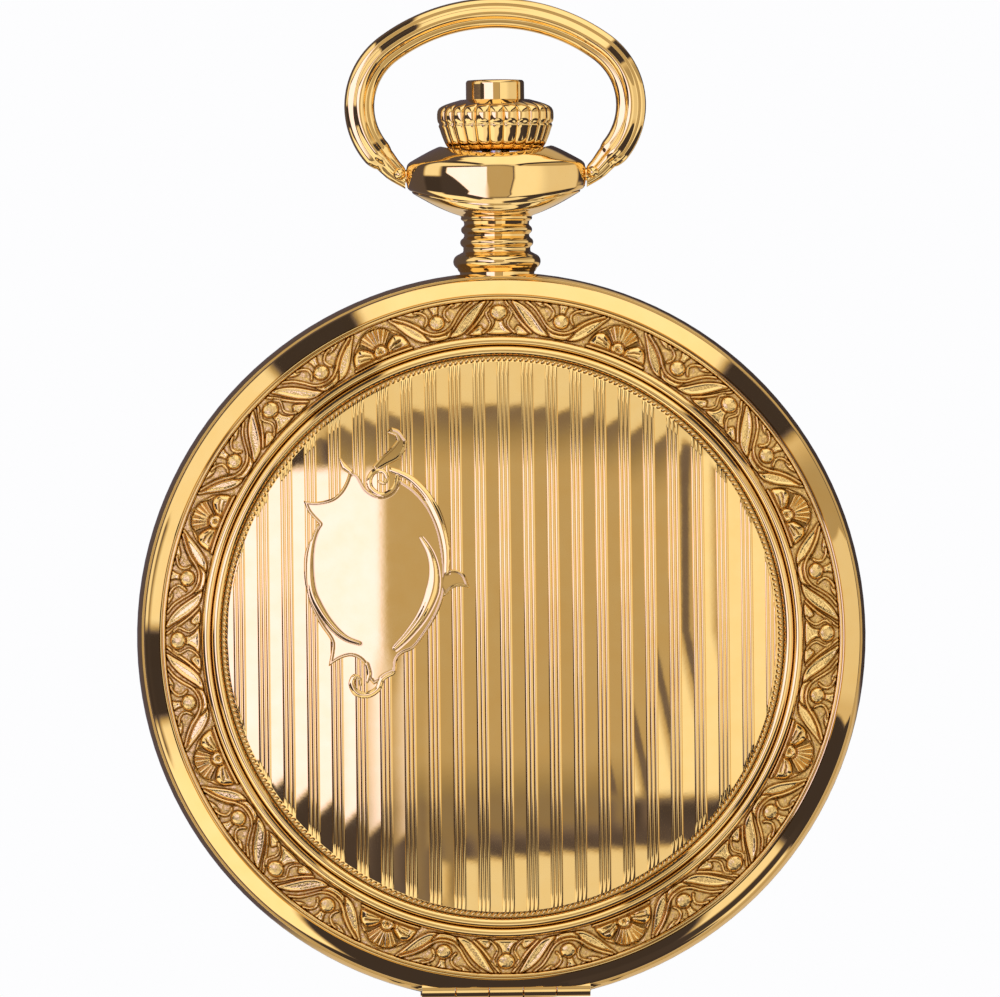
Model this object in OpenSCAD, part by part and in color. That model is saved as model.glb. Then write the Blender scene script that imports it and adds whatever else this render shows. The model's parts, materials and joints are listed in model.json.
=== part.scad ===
// Full hunter pocket watch, drawn as its separate pieces.
// +X to the right, +Z up to the crown, front of the watch towards -Y.
// The origin is the inside top of the bow, where a chain's ring hangs.

/* [Case] */
// Radius of the case middle, mm
case_r = 25; // [24:0.1:26]
// Half of the case middle's thickness, mm
case_half = 2.6; // [2.5:0.05:3]
// Height of the cover's rim before its bevel, mm
rim_h = 0.5; // [0.4:0.1:0.9]
// Rise of the reeded dome over its edge, mm
dome_rise = 1.85; // [1.2:0.05:2.2]
// Thickness of a cover's wall, mm
wall = 0.5; // [0.4:0.05:0.6]
// Distance between the reeds, mm
reed_pitch = 1.655; // [1.2:0.005:2.4]
// Length of a cover's hinge, mm
hinge_len = 11.6; // [8:0.2:14]

/* [Pendant] */
// Radius of the pendant's neck, mm
neck_r = 2.24; // [2.1:0.02:2.4]
// Radius of the pendant's head, mm
head_r = 6.19; // [5.8:0.05:6.6]
// Half width of the bow on its centreline, mm
bow_a = 9.33; // [9:0.05:10]
// Half height of the bow on its centreline, mm
bow_b = 6.35; // [6:0.05:7]
// Radius of the crown, mm
crown_r = 4; // [3.6:0.05:4.4]
// Number of flutes round the crown
flutes = 24; // [16:1:28]

/* [Movement] */
// Radius of the movement's main plate, mm
plate_r = 18.3; // [18:0.05:18.4]
// Radius of the balance wheel, mm
balance_r = 4.8; // [4.2:0.1:4.9]
// Turns of the hairspring
hair_turns = 7; // [5:1:9]
// Turns of the mainspring
main_turns = 6; // [4:1:8]

/* [Hidden] */
$fn = 48;
running = 0.03;
apart = 0.1;

// Places up the watch, measured from the middle of the case.
bow_z = case_r + 11.45;
bow_wire = 1.03;
ear_z = case_r + 6.67;
hang_z = bow_z + bow_b - bow_wire;
crown_z = case_r + 8.33;
push_z = crown_z + 3.54;

// Layers from back to front, measured forward from the case's middle plane.
dial_f = 1.7;
dial_t = 0.3;
floor_f = 1.2;
plate_f = -0.15;
bridge_f = -1.6;
bridge_t = 0.8;
top_f = bridge_f - bridge_t;
cock_f = -3.05;
land_f = 1.9;
jewel_r = 0.6;
pivot_r = 0.12;

// Covers.
rim_r = case_r - 0.35;
lip_r = case_r - 1.8;
bore_r = case_r - 4;
band_r = case_r - 1.9;
bead_r = band_r - 2.7;
field_r = bead_r - 1.55;
hinge_z = -case_r + 0.9;
hinge_r = 0.6;
hinge_pin_r = 0.25;
screw_head_r = 0.75;
knuckle = hinge_len / 5;

// Teeth: number, module and place of each wheel, looking from the front.
barrel_teeth = 78;
barrel_m = 0.2;
centre_leaves = 12;
barrel_dist = (barrel_teeth + centre_leaves) * barrel_m / 2;
barrel_at = polar(barrel_dist, 30);
centre_teeth = 80;
centre_m = 0.14;
third_leaves = 10;
third_dist = (centre_teeth + third_leaves) * centre_m / 2;
third_teeth = 75;
third_m = 0.125;
fourth_leaves = 10;
fourth_dist = (third_teeth + fourth_leaves) * third_m / 2;
fourth_z = -7.4;
third_up = (fourth_z * fourth_z + third_dist * third_dist - fourth_dist * fourth_dist) / (2 * fourth_z);
third_at = [sqrt(third_dist * third_dist - third_up * third_up), third_up];
fourth_at = [0, fourth_z];
fourth_teeth = 80;
fourth_m = 0.1;
escape_leaves = 8;
escape_dist = (fourth_teeth + escape_leaves) * fourth_m / 2;
escape_at = fourth_at + polar(escape_dist, 197);
escape_r = 2.3;
pallet_at = escape_at + polar(3.0, 151);
balance_at = pallet_at + polar(3.84, 151);
cannon_teeth = 12;
minute_teeth = 36;
motion_m = 0.15;
motion_dist = (cannon_teeth + minute_teeth) * motion_m / 2;
minute_at = polar(motion_dist, 150);
minute_leaves = 12;
hour_teeth = 48;
hour_m = 2 * motion_dist / (minute_leaves + hour_teeth);
setting_teeth = 48;
setting_dist = (minute_teeth + setting_teeth) * motion_m / 2;
setting_at = minute_at + polar(setting_dist, 67);
crown_at = [0, 11.2];
ratchet_teeth = 64;
crown_teeth = 39;
crown_dist = norm(barrel_at - crown_at);
ratchet_m = 2 * crown_dist / (ratchet_teeth + crown_teeth);
winding_r = 1.35;
winding_z = crown_at[1] + (crown_teeth / 2 + 0.85) * ratchet_m + running;
clutch_r = 0.9;
clutch_z = winding_z - 0.35;

function polar(r, a) = [r * cos(a), r * sin(a)];
function heading(a, b) = atan2(b[1] - a[1], b[0] - a[0]);

// Turn of wheel b that puts a gap of b over a tooth of a.
function mesh_phase(teeth_a, phase_a, teeth_b, a, b) =
    heading(a, b) + 180 + (heading(a, b) - phase_a) * teeth_a / teeth_b + 180 / teeth_b;

centre_phase = 0;
barrel_phase = mesh_phase(centre_leaves, centre_phase, barrel_teeth, [0, 0], barrel_at);
third_phase = mesh_phase(centre_teeth, centre_phase, third_leaves, [0, 0], third_at);
fourth_phase = mesh_phase(third_teeth, third_phase, fourth_leaves, third_at, fourth_at);
escape_phase = mesh_phase(fourth_teeth, fourth_phase, escape_leaves, fourth_at, escape_at);
minute_phase = mesh_phase(cannon_teeth, centre_phase, minute_teeth, [0, 0], minute_at);
hour_phase = mesh_phase(minute_leaves, minute_phase, hour_teeth, minute_at, [0, 0]);
setting_phase = mesh_phase(minute_teeth, minute_phase, setting_teeth, minute_at, setting_at);
ratchet_phase = mesh_phase(crown_teeth, 0, ratchet_teeth, crown_at, barrel_at);

brass = [0.86, 0.68, 0.3];
gold = [0.9, 0.72, 0.38];
steel = [0.72, 0.73, 0.76];
blue = [0.12, 0.2, 0.5];
ruby = [0.75, 0.1, 0.25];

// Helpers.
module placed() {
    translate([0, 0, -hang_z]) children();
}

module lathe() {
    rotate([90, 0, 0]) rotate_extrude($fn = 96) children();
}

module layer(f0, f1) {
    rotate([90, 0, 0]) translate([0, 0, f0]) linear_extrude(f1 - f0) children();
}

module post(at, r, f0, f1) {
    rotate([90, 0, 0]) translate([at[0], at[1], f0]) cylinder(r = r, h = f1 - f0);
}

module pierce(at, r) {
    post(at, r, -8, 8);
}

module sector(r0, r1, a0, a1) {
    step = (a1 - a0) / 12;
    outer = [for (i = [0:12]) polar(r1, a0 + i * step)];
    inner = [for (i = [12:-1:0]) polar(r0, a0 + i * step)];
    polygon(concat(outer, inner));
}

// A wheel's outline with straight-sided teeth, a little narrower than their gaps.
module toothed(teeth, m, phase) {
    r = teeth * m / 2;
    root = r - 1.15 * m;
    tip = r + 0.85 * m;
    pitch = 360 / teeth;
    points = [for (i = [0:teeth - 1]) for (k = [[root, -0.33], [tip, -0.12], [tip, 0.12], [root, 0.33]])
        polar(k[0], phase + (i + k[1]) * pitch)];
    polygon(points);
}

// A wheel with its teeth, four crossings and a hole for its arbor.
module spoked(teeth, m, phase, hub) {
    r = teeth * m / 2 - 1.15 * m - 0.45;
    difference() {
        toothed(teeth, m, phase);
        for (a = [45:90:315])
            sector(hub, r, a - 38, a + 38);
    }
}

// A flat spiral ribbon.
module spiral(r0, r1, turns, thick) {
    steps = turns * 24;
    grow = (r1 - r0) / steps;
    inner = [for (i = [0:steps]) polar(r0 + i * grow, i * 15)];
    outer = [for (i = [steps:-1:0]) polar(r0 + thick + i * grow, i * 15)];
    polygon(concat(inner, outer));
}

// Front half of a cover's outline: forward distance of the outside at each ring.
function band_f(rim) = case_half + rim + 0.8;
function dome_f(r, rim) = band_f(rim) + 0.85 + dome_rise * (1 - pow(r / field_r, 2));

module dome_skin(low, high, rim) {
    steps = 6;
    upper = [for (i = [0:steps]) let(r = field_r * i / steps) [r, dome_f(r, rim) + high]];
    lower = [for (i = [steps:-1:0]) let(r = field_r * i / steps) [r, dome_f(r, rim) + low]];
    lathe() polygon(concat(upper, lower));
}

module cover_shell(rim) {
    f = band_f(rim);
    lathe() polygon([
        [lip_r, case_half], [rim_r, case_half], [rim_r, case_half + rim],
        [band_r + 0.35, f - 0.05], [band_r + 0.25, f - 0.12], [band_r + 0.15, f], [band_r, f - 0.06],
        [bead_r + 0.15, f + 0.42], [bead_r, f + 0.3], [field_r, f + 0.7],
        [field_r - 0.2, f + 0.86], [field_r - 0.2, f + 0.4], [bead_r - 0.5, f - 0.05],
        [lip_r - 0.8, f - 0.65], [lip_r - 0.4, case_half - wall], [lip_r - apart, case_half - wall],
        [lip_r - apart, case_half]
    ]);
    dome_skin(-wall, 0, rim);
    for (ring = [[bead_r - 0.13, 0.4, 0.31], [bead_r - 0.78, 0.5, 0.32], [field_r + 0.21, 0.66, 0.2]])
        lathe() translate([ring[0], f + ring[1]]) circle(ring[2]);
}

module knuckles(first, r, grow) {
    for (i = [first:2:4])
        translate([-hinge_len / 2 + i * knuckle - grow, 0, hinge_z])
            rotate([0, 90, 0]) cylinder(r = r, h = knuckle + 2 * grow);
}

// The cover's own barrels stand off the case's, with the hinge axis on the parting plane.
module cover(rim) {
    difference() {
        union() {
            difference() {
                cover_shell(rim);
                translate([0, -case_half, 0]) hinge_relief();
            }
            difference() {
                translate([0, -case_half, 0]) knuckles(1, hinge_r, -0.03);
                translate([0, -case_half, hinge_z])
                    rotate([0, 90, 0]) cylinder(r = hinge_pin_r + running, h = 20, center = true);
            }
            translate([0, -case_half, 0]) hinge_arms();
        }
        translate([0, -case_half, 0]) knuckles(0, hinge_r + 0.08, 0.03);
        translate([0, -case_half, hinge_z])
            rotate([0, 90, 0]) cylinder(r = hinge_pin_r + running, h = 20, center = true);
    }
}

module hinge_relief() {
    translate([-hinge_len / 2 - 0.1, -3, -case_r - 1])
        cube([hinge_len + 0.2, 6, 1.0 + case_r + hinge_z + 0.1]);
}

// Webs between the cover's barrels and its rim.
module hinge_arms() {
    for (i = [1, 3])
        translate([-hinge_len / 2 + i * knuckle + 0.03, -0.55, hinge_z + 0.3])
            cube([knuckle - 0.06, 0.5, 0.9]);
}

module reeds() {
    count = floor(2 * (field_r - 0.6) / reed_pitch / 2);
    intersection() {
        dome_skin(-0.2, 0.1, rim_h);
        for (k = [-count:count])
            translate([k * reed_pitch + 0.2 - 0.42, -9, -field_r])
                cube([0.84, 9, 2 * field_r]);
    }
}

// Shield outline on the dome, points in mm from the middle of the cover.
shield_outer = [
    [-13.6, 9.5], [-10.9, 12], [-10.6, 11], [-8.5, 12.6], [-6.2, 11.5], [-3.9, 8.6], [-3.1, 5.8],
    [-4.0, 4.6], [-3.9, 1.8], [-5.4, -0.7], [-8.0, -2.9], [-9.9, -4.1], [-11.9, 0], [-13.6, 2.4],
    [-13.6, 5], [-12.5, 7.7]
];
shield_at = [-8.6, 4.6];

module shield() {
    intersection() {
        dome_skin(-0.2, 0.25, rim_h);
        layer(3, 8)
            difference() {
                polygon(shield_outer);
                polygon([for (p = shield_outer) shield_at + (p - shield_at) * 0.86]);
            }
    }
}

// Case.
module case_middle() color(gold) placed() {
    edge = case_r - 0.3;
    difference() {
        union() {
            lathe() polygon([
                [bore_r, -land_f], [lip_r, -land_f], [lip_r, -case_half], [edge, -case_half],
                [case_r - 0.08, -case_half + 0.5], [case_r, -0.6], [case_r, 0.6],
                [case_r - 0.08, case_half - 0.5], [edge, case_half], [lip_r, case_half],
                [lip_r, land_f], [bore_r, land_f]
            ]);
            for (side = [-1, 1])
                translate([0, side * case_half, 0]) knuckles(0, hinge_r, -0.03);
        }
        for (side = [-1, 1]) {
            translate([0, side * case_half, 0]) knuckles(1, hinge_r + 0.08, 0.03);
            translate([0, side * case_half, hinge_z])
                rotate([0, 90, 0]) cylinder(r = hinge_pin_r, h = 20, center = true);
        }
        translate([0, 0, bore_r - 1]) cylinder(r = 1.9, h = 6);
        lock_slot();
        lift_slot();
    }
}

module lock_slot() {
    translate([-2.9, -2.2, bore_r - 1]) cube([5.8, 1.7, 2.85]);
    translate([-2.9, -2.2, bore_r - 1]) cube([1.6, 3, 2.85]);
}

module lift_slot() {
    translate([6.6, -2.2, -bore_r - 1.3]) cube([2, 3, 3.5]);
}

module pendant() color(gold) placed() {
    foot = case_r;
    difference() {
        union() {
            rotate_extrude() polygon([
                [0, foot - 1], [2.52, foot - 1], [2.52, foot + 0.2], [2.7, foot + 0.3],
                [2.87, foot + 0.6], [2.87, foot + 1.2], [2.7, foot + 1.5], [2.3, foot + 1.7],
                [2.25, foot + 1.85], [2.4, foot + 1.9], [2.47, foot + 2.1], [2.4, foot + 2.4],
                [2.19, foot + 2.6], [2.19, foot + 3.1], [2.35, foot + 3.2], [2.4, foot + 3.45],
                [2.35, foot + 3.7], [neck_r, foot + 3.8], [neck_r, foot + 4.2],
                [head_r - 0.3, ear_z - 0.75], [head_r, ear_z - 0.4], [head_r, ear_z + 0.4],
                [head_r - 0.4, ear_z + 0.8], [4.3, crown_z - 0.23], [3.9, crown_z - 0.13],
                [0, crown_z - 0.13]
            ]);
        }
        rotate([90, 0, 0]) cylinder(r = case_r, h = 10, center = true, $fn = 96);
        translate([0, 0, bore_r - 1]) cylinder(r = 1.45, h = 20);
        translate([0, 0, crown_z - apart - 0.6]) cylinder(r = 3.45, h = 2);
        for (side = [-1, 1])
            translate([side * (head_r + 1.9), 0, ear_z]) cube([4, 20, 6], center = true);
        translate([0, 0, ear_z]) rotate([0, 90, 0]) cylinder(r = 0.45, h = 20, center = true);
    }
    difference() {
        translate([0, 0, bore_r - 0.2]) cylinder(r = 1.9, h = 5);
        translate([0, 0, bore_r - 1]) cylinder(r = 1.45, h = 20);
        translate([-3, -2.3, bore_r - 1]) cube([6, 1.4, 3.2]);
        translate([-3, -2.3, bore_r - 1]) cube([2, 3.2, 3.2]);
    }
}

module pendant_sleeve() color(steel) placed() {
    difference() {
        translate([0, 0, case_r - 0.1]) cylinder(r = 1.45, h = 5.8);
        translate([0, 0, case_r - 5]) cylinder(r = 0.95 + running, h = 20);
    }
}

module bow_screws() color(gold) placed() {
    for (side = [-1, 1])
        translate([side * (head_r - 1.19), 0, ear_z]) rotate([0, side * 90, 0]) {
            cylinder(r = 0.45, h = 2.65);
            translate([0, 0, 2.65]) cylinder(r = screw_head_r, h = 0.3);
        }
}

// The bow is three tangent arcs: a tight one at each side, a flatter one over the top.
// The side arcs are a hair thinner and run a little way into the top one, so that they join.
module bow() color(gold) placed() {
    side_r = 4.9;
    side_x = bow_a - side_r;
    top_r = (side_x * side_x + bow_b * bow_b - side_r * side_r) / (2 * (bow_b - side_r));
    join_a = atan2(top_r - bow_b, side_x);
    overrun = 0.6;
    difference() {
        union() {
            for (ridge = [[0, 0.92], [-0.53, 0.5], [0.53, 0.5]]) {
                translate([0, 0, bow_z + bow_b - top_r])
                    rotate([90, 0, 0]) rotate([0, 0, join_a]) rotate_extrude(angle = 180 - 2 * join_a)
                        translate([top_r + ridge[0], 0]) circle(ridge[1]);
                for (side = [0, 1])
                    mirror([side, 0, 0]) translate([side_x, 0, bow_z])
                        rotate([90, 0, 0]) rotate([0, 0, -64])
                            rotate_extrude(angle = 64 + join_a + overrun)
                                translate([side_r + ridge[0], 0]) circle(ridge[1] - 0.003);
            }
            for (side = [-1, 1])
                translate([side * (head_r + 0.71), 0, ear_z])
                    rotate([0, 90, 0]) cylinder(r = 1, h = 1.4, center = true);
        }
        translate([0, 0, ear_z]) cube([2 * head_r + 0.02, 6, 8], center = true);
        for (side = [-1, 1])
            translate([side * head_r, 0, ear_z]) rotate([0, side * 90, 0]) {
                cylinder(r = 0.45 + running, h = 3);
                translate([0, 0, 1.43]) cylinder(r = screw_head_r + running, h = 3);
            }
    }
}

// Crown, stem and button.
module crown() color(gold) placed() {
    difference() {
        translate([0, 0, crown_z]) rotate_extrude() polygon([
            [0, 0], [crown_r - 0.7, 0], [crown_r - 0.55, 0.12], [crown_r - 0.08, 1.75],
            [crown_r - 0.2, 2.0], [crown_r - 0.2, 2.15], [crown_r, 2.35], [crown_r, 2.75],
            [crown_r - 0.45, 3.25], [crown_r - 1.6, 3.54], [0, 3.54]
        ]);
        translate([0, 0, crown_z + 1.4]) cylinder(r = 2.0 + running, h = 3);
        translate([0, 0, crown_z - 1]) cylinder(r = 0.95, h = 4);
        for (i = [0:flutes - 1])
            rotate([0, 0, (i + 0.5) * 360 / flutes]) {
                translate([crown_r + 0.12, 0, crown_z + 2.12]) cylinder(r = 0.38, h = 2, $fn = 16);
                translate([crown_r - 0.42, 0, crown_z - 0.2]) rotate([0, 17, 0])
                    cylinder(r = 0.34, h = 2.25, $fn = 16);
            }
    }
}

// The stem is bored for the button's rod and slotted for its cross pin.
module winding_stem() color(steel) placed() {
    difference() {
        union() {
            translate([0, 0, bore_r + 0.5]) cylinder(r = 0.95, h = crown_z + 0.9 - bore_r);
            translate([0, 0, 8.6]) cylinder(r = 0.5, h = bore_r - 7);
        }
        translate([0, 0, bore_r + 1]) cylinder(r = 0.35 + running, h = 20);
        translate([-2, -0.2, bore_r + 1.7]) cube([4, 0.4, 1.2]);
    }
}

module push_piece() color(gold) placed() {
    translate([0, 0, push_z - 1.0]) rotate_extrude() polygon([
        [0, 0], [2.0, 0], [2.0, 2.12], [1.88, 2.3], [1.7, 2.37], [0, 2.37]
    ]);
}

// The button's rod runs down the stem to a cross pin.
module push_rod() color(steel) placed() {
    translate([0, 0, bore_r + 2.2]) cylinder(r = 0.35, h = push_z - 3.2 - bore_r);
    translate([0, 0, bore_r + 2.6]) rotate([0, 90, 0]) cylinder(r = 0.17, h = 2.6, center = true, $fn = 24);
}

// A loose ring under the cross pin presses the catch whatever way the crown is turned.
module push_collar() color(steel) placed() {
    difference() {
        translate([0, 0, bore_r + 2]) cylinder(r = 1.45 - running, h = 0.4);
        translate([0, 0, bore_r + 1]) cylinder(r = 0.95 + running, h = 3);
    }
}

module push_spring() color(steel) placed() {
    translate([0, 0, crown_z + 1.45])
        linear_extrude(height = push_z - 1.05 - crown_z - 1.45, twist = -360 * 2, slices = 24)
            translate([1.4, 0]) square([0.25, 0.6], center = true);
}

// The catch: a leaf round the case's bore with a hooked head at the pendant.
module lock_spring() color(steel) placed() {
    layer(-0.6, 0.5) sector(bore_r - 0.75, bore_r - 0.45, 96, 170);
    layer(-0.6, 0.5) sector(bore_r - 1.25, bore_r - 0.5, 164, 170);
    layer(-0.6, 1.8) translate([-2.6, bore_r - 1]) square([0.65, 2.65]);
    layer(1.05, 1.8) translate([-2.6, bore_r + 1.05]) square([5.2, 0.6]);
    layer(1.7, 2.35) translate([-2.6, bore_r + 1.45]) square([0.9, 0.15]);
}

module lift_spring() color(steel) placed() {
    layer(-0.6, 0.5) sector(bore_r - 0.75, bore_r - 0.45, -70, -8);
    layer(-0.6, 0.5) sector(bore_r - 0.75, bore_r, -14, -8);
    layer(-0.6, 1.85) translate([6.8, -bore_r - 1.1]) square([1.5, 3.1]);
    layer(1.8, 2.05) translate([6.8, -bore_r - 1.1]) square([1.5, 0.5]);
}

module front_cover() color(gold) placed() {
    cover(rim_h);
    reeds();
    shield();
}

module back_cover() color(gold) placed() {
    mirror([0, 1, 0]) cover(rim_h + 0.4);
}

module front_hinge_pin() color(steel) placed() {
    translate([0, -case_half, hinge_z]) rotate([0, 90, 0]) cylinder(r = hinge_pin_r, h = hinge_len, center = true);
}

module back_hinge_pin() color(steel) placed() {
    translate([0, case_half, hinge_z]) rotate([0, 90, 0]) cylinder(r = hinge_pin_r, h = hinge_len, center = true);
}

module glass_ring(deep) {
    lathe() difference() {
        polygon([
            [bore_r - 0.7, land_f], [lip_r - 1.1, land_f], [lip_r - 1.1, land_f + 0.5],
            [bore_r, land_f + 1.3 + deep], [bore_r - 0.9, land_f + 1.45 + deep],
            [bore_r - 0.9, dial_f + dial_t + 0.05]
        ]);
        polygon([
            [bore_r - 2, land_f + 0.85 + deep], [bore_r - 0.45, land_f + 0.85 + deep],
            [bore_r - 0.45, land_f + 1.25 + deep], [bore_r - 2, land_f + 1.25 + deep]
        ]);
    }
}

module front_bezel() color(gold) placed() glass_ring(0);

module back_bezel() color(gold) placed() mirror([0, 1, 0]) glass_ring(0.55);

module crystal() color([0.85, 0.92, 0.95, 0.35]) placed() {
    edge = bore_r - 0.45;
    lathe() polygon([
        [0, land_f + 1.5], [8, land_f + 1.4], [15, land_f + 1.15], [bore_r - 1.3, land_f + 0.85],
        [edge, land_f + 0.85], [edge, land_f + 1.25], [bore_r - 1, land_f + 1.25],
        [15, land_f + 1.6], [8, land_f + 1.85], [0, land_f + 1.95]
    ]);
}

module back_glass() color([0.85, 0.92, 0.95, 0.35]) placed() {
    post([0, 0], bore_r - 0.45, -land_f - 1.8, -land_f - 1.4);
}

module movement_ring() color(brass) placed() {
    difference() {
        lathe() polygon([
            [plate_r + 0.6, -1.6], [bore_r - 1.4, -1.6], [bore_r - 1.4, floor_f], [bore_r, floor_f], [bore_r, dial_f],
            [plate_r + 0.05, dial_f], [plate_r + 0.05, plate_f], [plate_r + 0.6, plate_f]
        ]);
        translate([0, 0, 15]) cylinder(r = 1.3, h = 8);
        layer(0.5, 2) translate([0, bore_r - 0.1]) square([5.8, 3], center = true);
        layer(0.5, 2) translate([7.6, 0.7 - bore_r]) square([2.4, 3.4], center = true);
    }
}

// Dial and hands.
module dial() color([0.96, 0.95, 0.92]) placed() {
    difference() {
        post([0, 0], plate_r + 1.1, dial_f, dial_f + dial_t);
        post([0, 0], 1.15, dial_f - 1, dial_f + 1);
        post(fourth_at, 0.3, dial_f - 1, dial_f + 1);
    }
}

module hand(length, width, hub, bore, f0, f1) {
    layer(f0, f1) difference() {
        union() {
            circle(hub);
            polygon([
                [-width / 2, -length * 0.18], [width / 2, -length * 0.18], [width * 0.3, 0],
                [width * 0.55, length * 0.62], [0, length], [-width * 0.55, length * 0.62],
                [-width * 0.3, 0]
            ]);
        }
        circle(bore);
    }
}

module hour_hand() color(blue) placed() {
    rotate([0, -55, 0]) hand(10.5, 1.5, 1.3, 0.85, dial_f + 0.6, dial_f + 0.75);
}

module minute_hand() color(blue) placed() {
    rotate([0, 60, 0]) hand(plate_r - 2.1, 1.2, 1.0, 0.4, dial_f + 0.95, dial_f + 1.1);
}

module seconds_hand() color(blue) placed() {
    translate([0, 0, fourth_z]) hand(4.2, 0.4, 0.5, 0.2, dial_f + 0.36, dial_f + 0.46);
}

module cannon_pinion() color(steel) placed() {
    layer(floor_f + 0.04, floor_f + 0.2) difference() {
        toothed(cannon_teeth, motion_m, centre_phase);
        circle(0.25);
    }
    difference() {
        post([0, 0], 0.4, floor_f + 0.2, dial_f + 1.1);
        post([0, 0], 0.25, floor_f - 1, dial_f + 0.9);
    }
}

module hour_wheel() color(brass) placed() {
    layer(floor_f + 0.3, floor_f + 0.42) difference() {
        toothed(hour_teeth, hour_m, hour_phase);
        circle(0.45);
    }
    difference() {
        post([0, 0], 0.85, floor_f + 0.42, dial_f + 0.75);
        post([0, 0], 0.45, floor_f - 1, dial_f + 2);
    }
}

module minute_wheel() color(brass) placed() {
    translate([minute_at[0], 0, minute_at[1]]) {
        layer(floor_f + 0.05, floor_f + 0.2) difference() {
            toothed(minute_teeth, motion_m, minute_phase);
            circle(0.3 + running);
        }
        layer(floor_f + 0.2, floor_f + 0.44) difference() {
            toothed(minute_leaves, hour_m, minute_phase);
            circle(0.3 + running);
        }
    }
}

module setting_wheel() color(brass) placed() {
    translate([setting_at[0], 0, setting_at[1]])
        layer(floor_f + 0.05, floor_f + 0.2) difference() {
            toothed(setting_teeth, motion_m, setting_phase);
            circle(0.4 + running);
        }
}

// Plates and bridges.
module main_plate() color(brass) placed() {
    difference() {
        post([0, 0], plate_r, plate_f, dial_f);
        post([0, 0], plate_r - 1.6, floor_f, dial_f + 1);
        post(barrel_at, barrel_teeth * barrel_m / 2 + 0.35, -1, 0.8);
        post(barrel_at, 0.8, -1, 2);
        post([0, 0], 0.35, -1, 2);
        post([0, 0], 1.5, -1, 0.8);
        post(fourth_at, 0.25, -1, 2);
        for (at = [third_at, escape_at, pallet_at, balance_at])
            post(at, jewel_r, 0.6, 2);
        for (at = [third_at, escape_at, pallet_at, balance_at])
            post(at, 0.4, -1, 2);
        layer(-1, 3) translate([0, 15.25]) square([3.0, 7.6], center = true);
        translate([0, 0, 8.4]) cylinder(r = 0.5 + running, h = 12);
        for (at = plate_hole_at)
            post(at, 0.35, -1, 1);
    }
    post(minute_at, 0.3, floor_f, dial_f);
    post(setting_at, 0.4, floor_f, floor_f + 0.4);
    post(lever_at, 0.3, floor_f, floor_f + 0.4);
    post(yoke_at, 0.3, floor_f, floor_f + 0.4);
}

barrel_screw_at = [polar(plate_r - 1.7, 62), polar(plate_r - 1.4, -4), polar(plate_r - 1.7, 126)];
train_screw_at = [polar(plate_r - 1.5, -40), polar(plate_r - 1.5, -112)];
cock_screw_at = [polar(plate_r - 1.2, 176)];
pallet_screw_at = [[-8.6, -11.4]];
case_screw_at = [polar(plate_r - 0.7, -16), polar(plate_r - 0.7, 164)];
plate_hole_at = concat(barrel_screw_at, train_screw_at, cock_screw_at, pallet_screw_at, case_screw_at);
lever_at = [5.2, 14.4];
groove_z = clutch_z - 1.15;
yoke_at = [-6.2, groove_z + 0.46];

module feet(places, f) {
    for (at = places)
        difference() {
            post(at, 1.2, f, plate_f);
            post(at, 0.35, f - 1, plate_f + 1);
        }
}

module barrel_bridge() color(brass) placed() {
    difference() {
        union() {
            difference() {
                post([0, 0], plate_r - 0.4, top_f, bridge_f);
                layer(top_f - 1, 0) polygon([
                    [-1.5 * plate_r, -1.5 * plate_r], [1.5 * plate_r, -1.5 * plate_r], [1.5 * plate_r, -2.6],
                    [2, -2.6], [-2.2, -1.4], [-2.6, 2], [-9, 8], [-1.5 * plate_r, 19.3]
                ]);
            }
            intersection() {
                post([0, 0], plate_r - 0.4, top_f, plate_f);
                feet(barrel_screw_at, bridge_f - 0.1);
            }
        }
        post([0, 0], 0.6, top_f - 1, 0);
        post(barrel_at, 0.8, top_f - 1, 0);
        post(crown_at, 2.1, top_f - 1, 0);
        for (at = concat(barrel_screw_at, [click_at]))
            post(at, 0.35, top_f - 1, 1);
    }
}

module train_bridge() color(brass) placed() {
    difference() {
        union() {
            layer(top_f, bridge_f) polygon(concat(
                [[4, -3.2]], [for (a = [-21:-5:-116]) polar(plate_r - 0.45, a)],
                [[-6.2, -10.6], [-5.6, -8.2], [-3.2, -6.6]]
            ));
            feet(train_screw_at, bridge_f - 0.1);
        }
        for (at = [third_at, fourth_at, escape_at])
            post(at, jewel_r, top_f - 1, 0);
        for (at = train_screw_at)
            post(at, 0.35, top_f - 1, 1);
    }
}

module pallet_bridge() color(brass) placed() {
    difference() {
        union() {
            layer(-1.45, -1.1) {
                along = polar(0.85, heading(pallet_at, pallet_screw_at[0]) + 90);
                translate(pallet_at) circle(0.85);
                translate(pallet_screw_at[0]) circle(0.85);
                polygon([
                    pallet_at + along, pallet_at - along, pallet_screw_at[0] - along,
                    pallet_screw_at[0] + along
                ]);
            }
            difference() {
                post(pallet_screw_at[0], 0.85, -1.2, plate_f);
                post(pallet_screw_at[0], 0.35, -3, 1);
            }
        }
        post(pallet_at, 0.35, -3, 0);
        post(pallet_screw_at[0], 0.35, -3, 1);
    }
}

module balance_cock() color(brass) placed() {
    root = cock_screw_at[0];
    difference() {
        union() {
            layer(cock_f, cock_f + 0.55) polygon([
                root + [0.8, -1.3], root + [0.8, 1.3], balance_at + [-1.6, 1.2], balance_at + [1.2, 1.3],
                balance_at + [1.6, 0], balance_at + [0.9, -1.4], balance_at + [-1.6, -1.3],
                root + [-0.8, -1.3]
            ]);
            post(root, 1.15, cock_f + 0.5, plate_f);
        }
        post(balance_at, jewel_r, -4, 0);
        post(root, 0.35, -4, 1);
    }
}

module jewel_ring(at, r, bore, f0, f1) {
    difference() {
        post(at, r, f0, f1);
        post(at, bore, f0 - 1, f1 + 1);
    }
}

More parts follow.
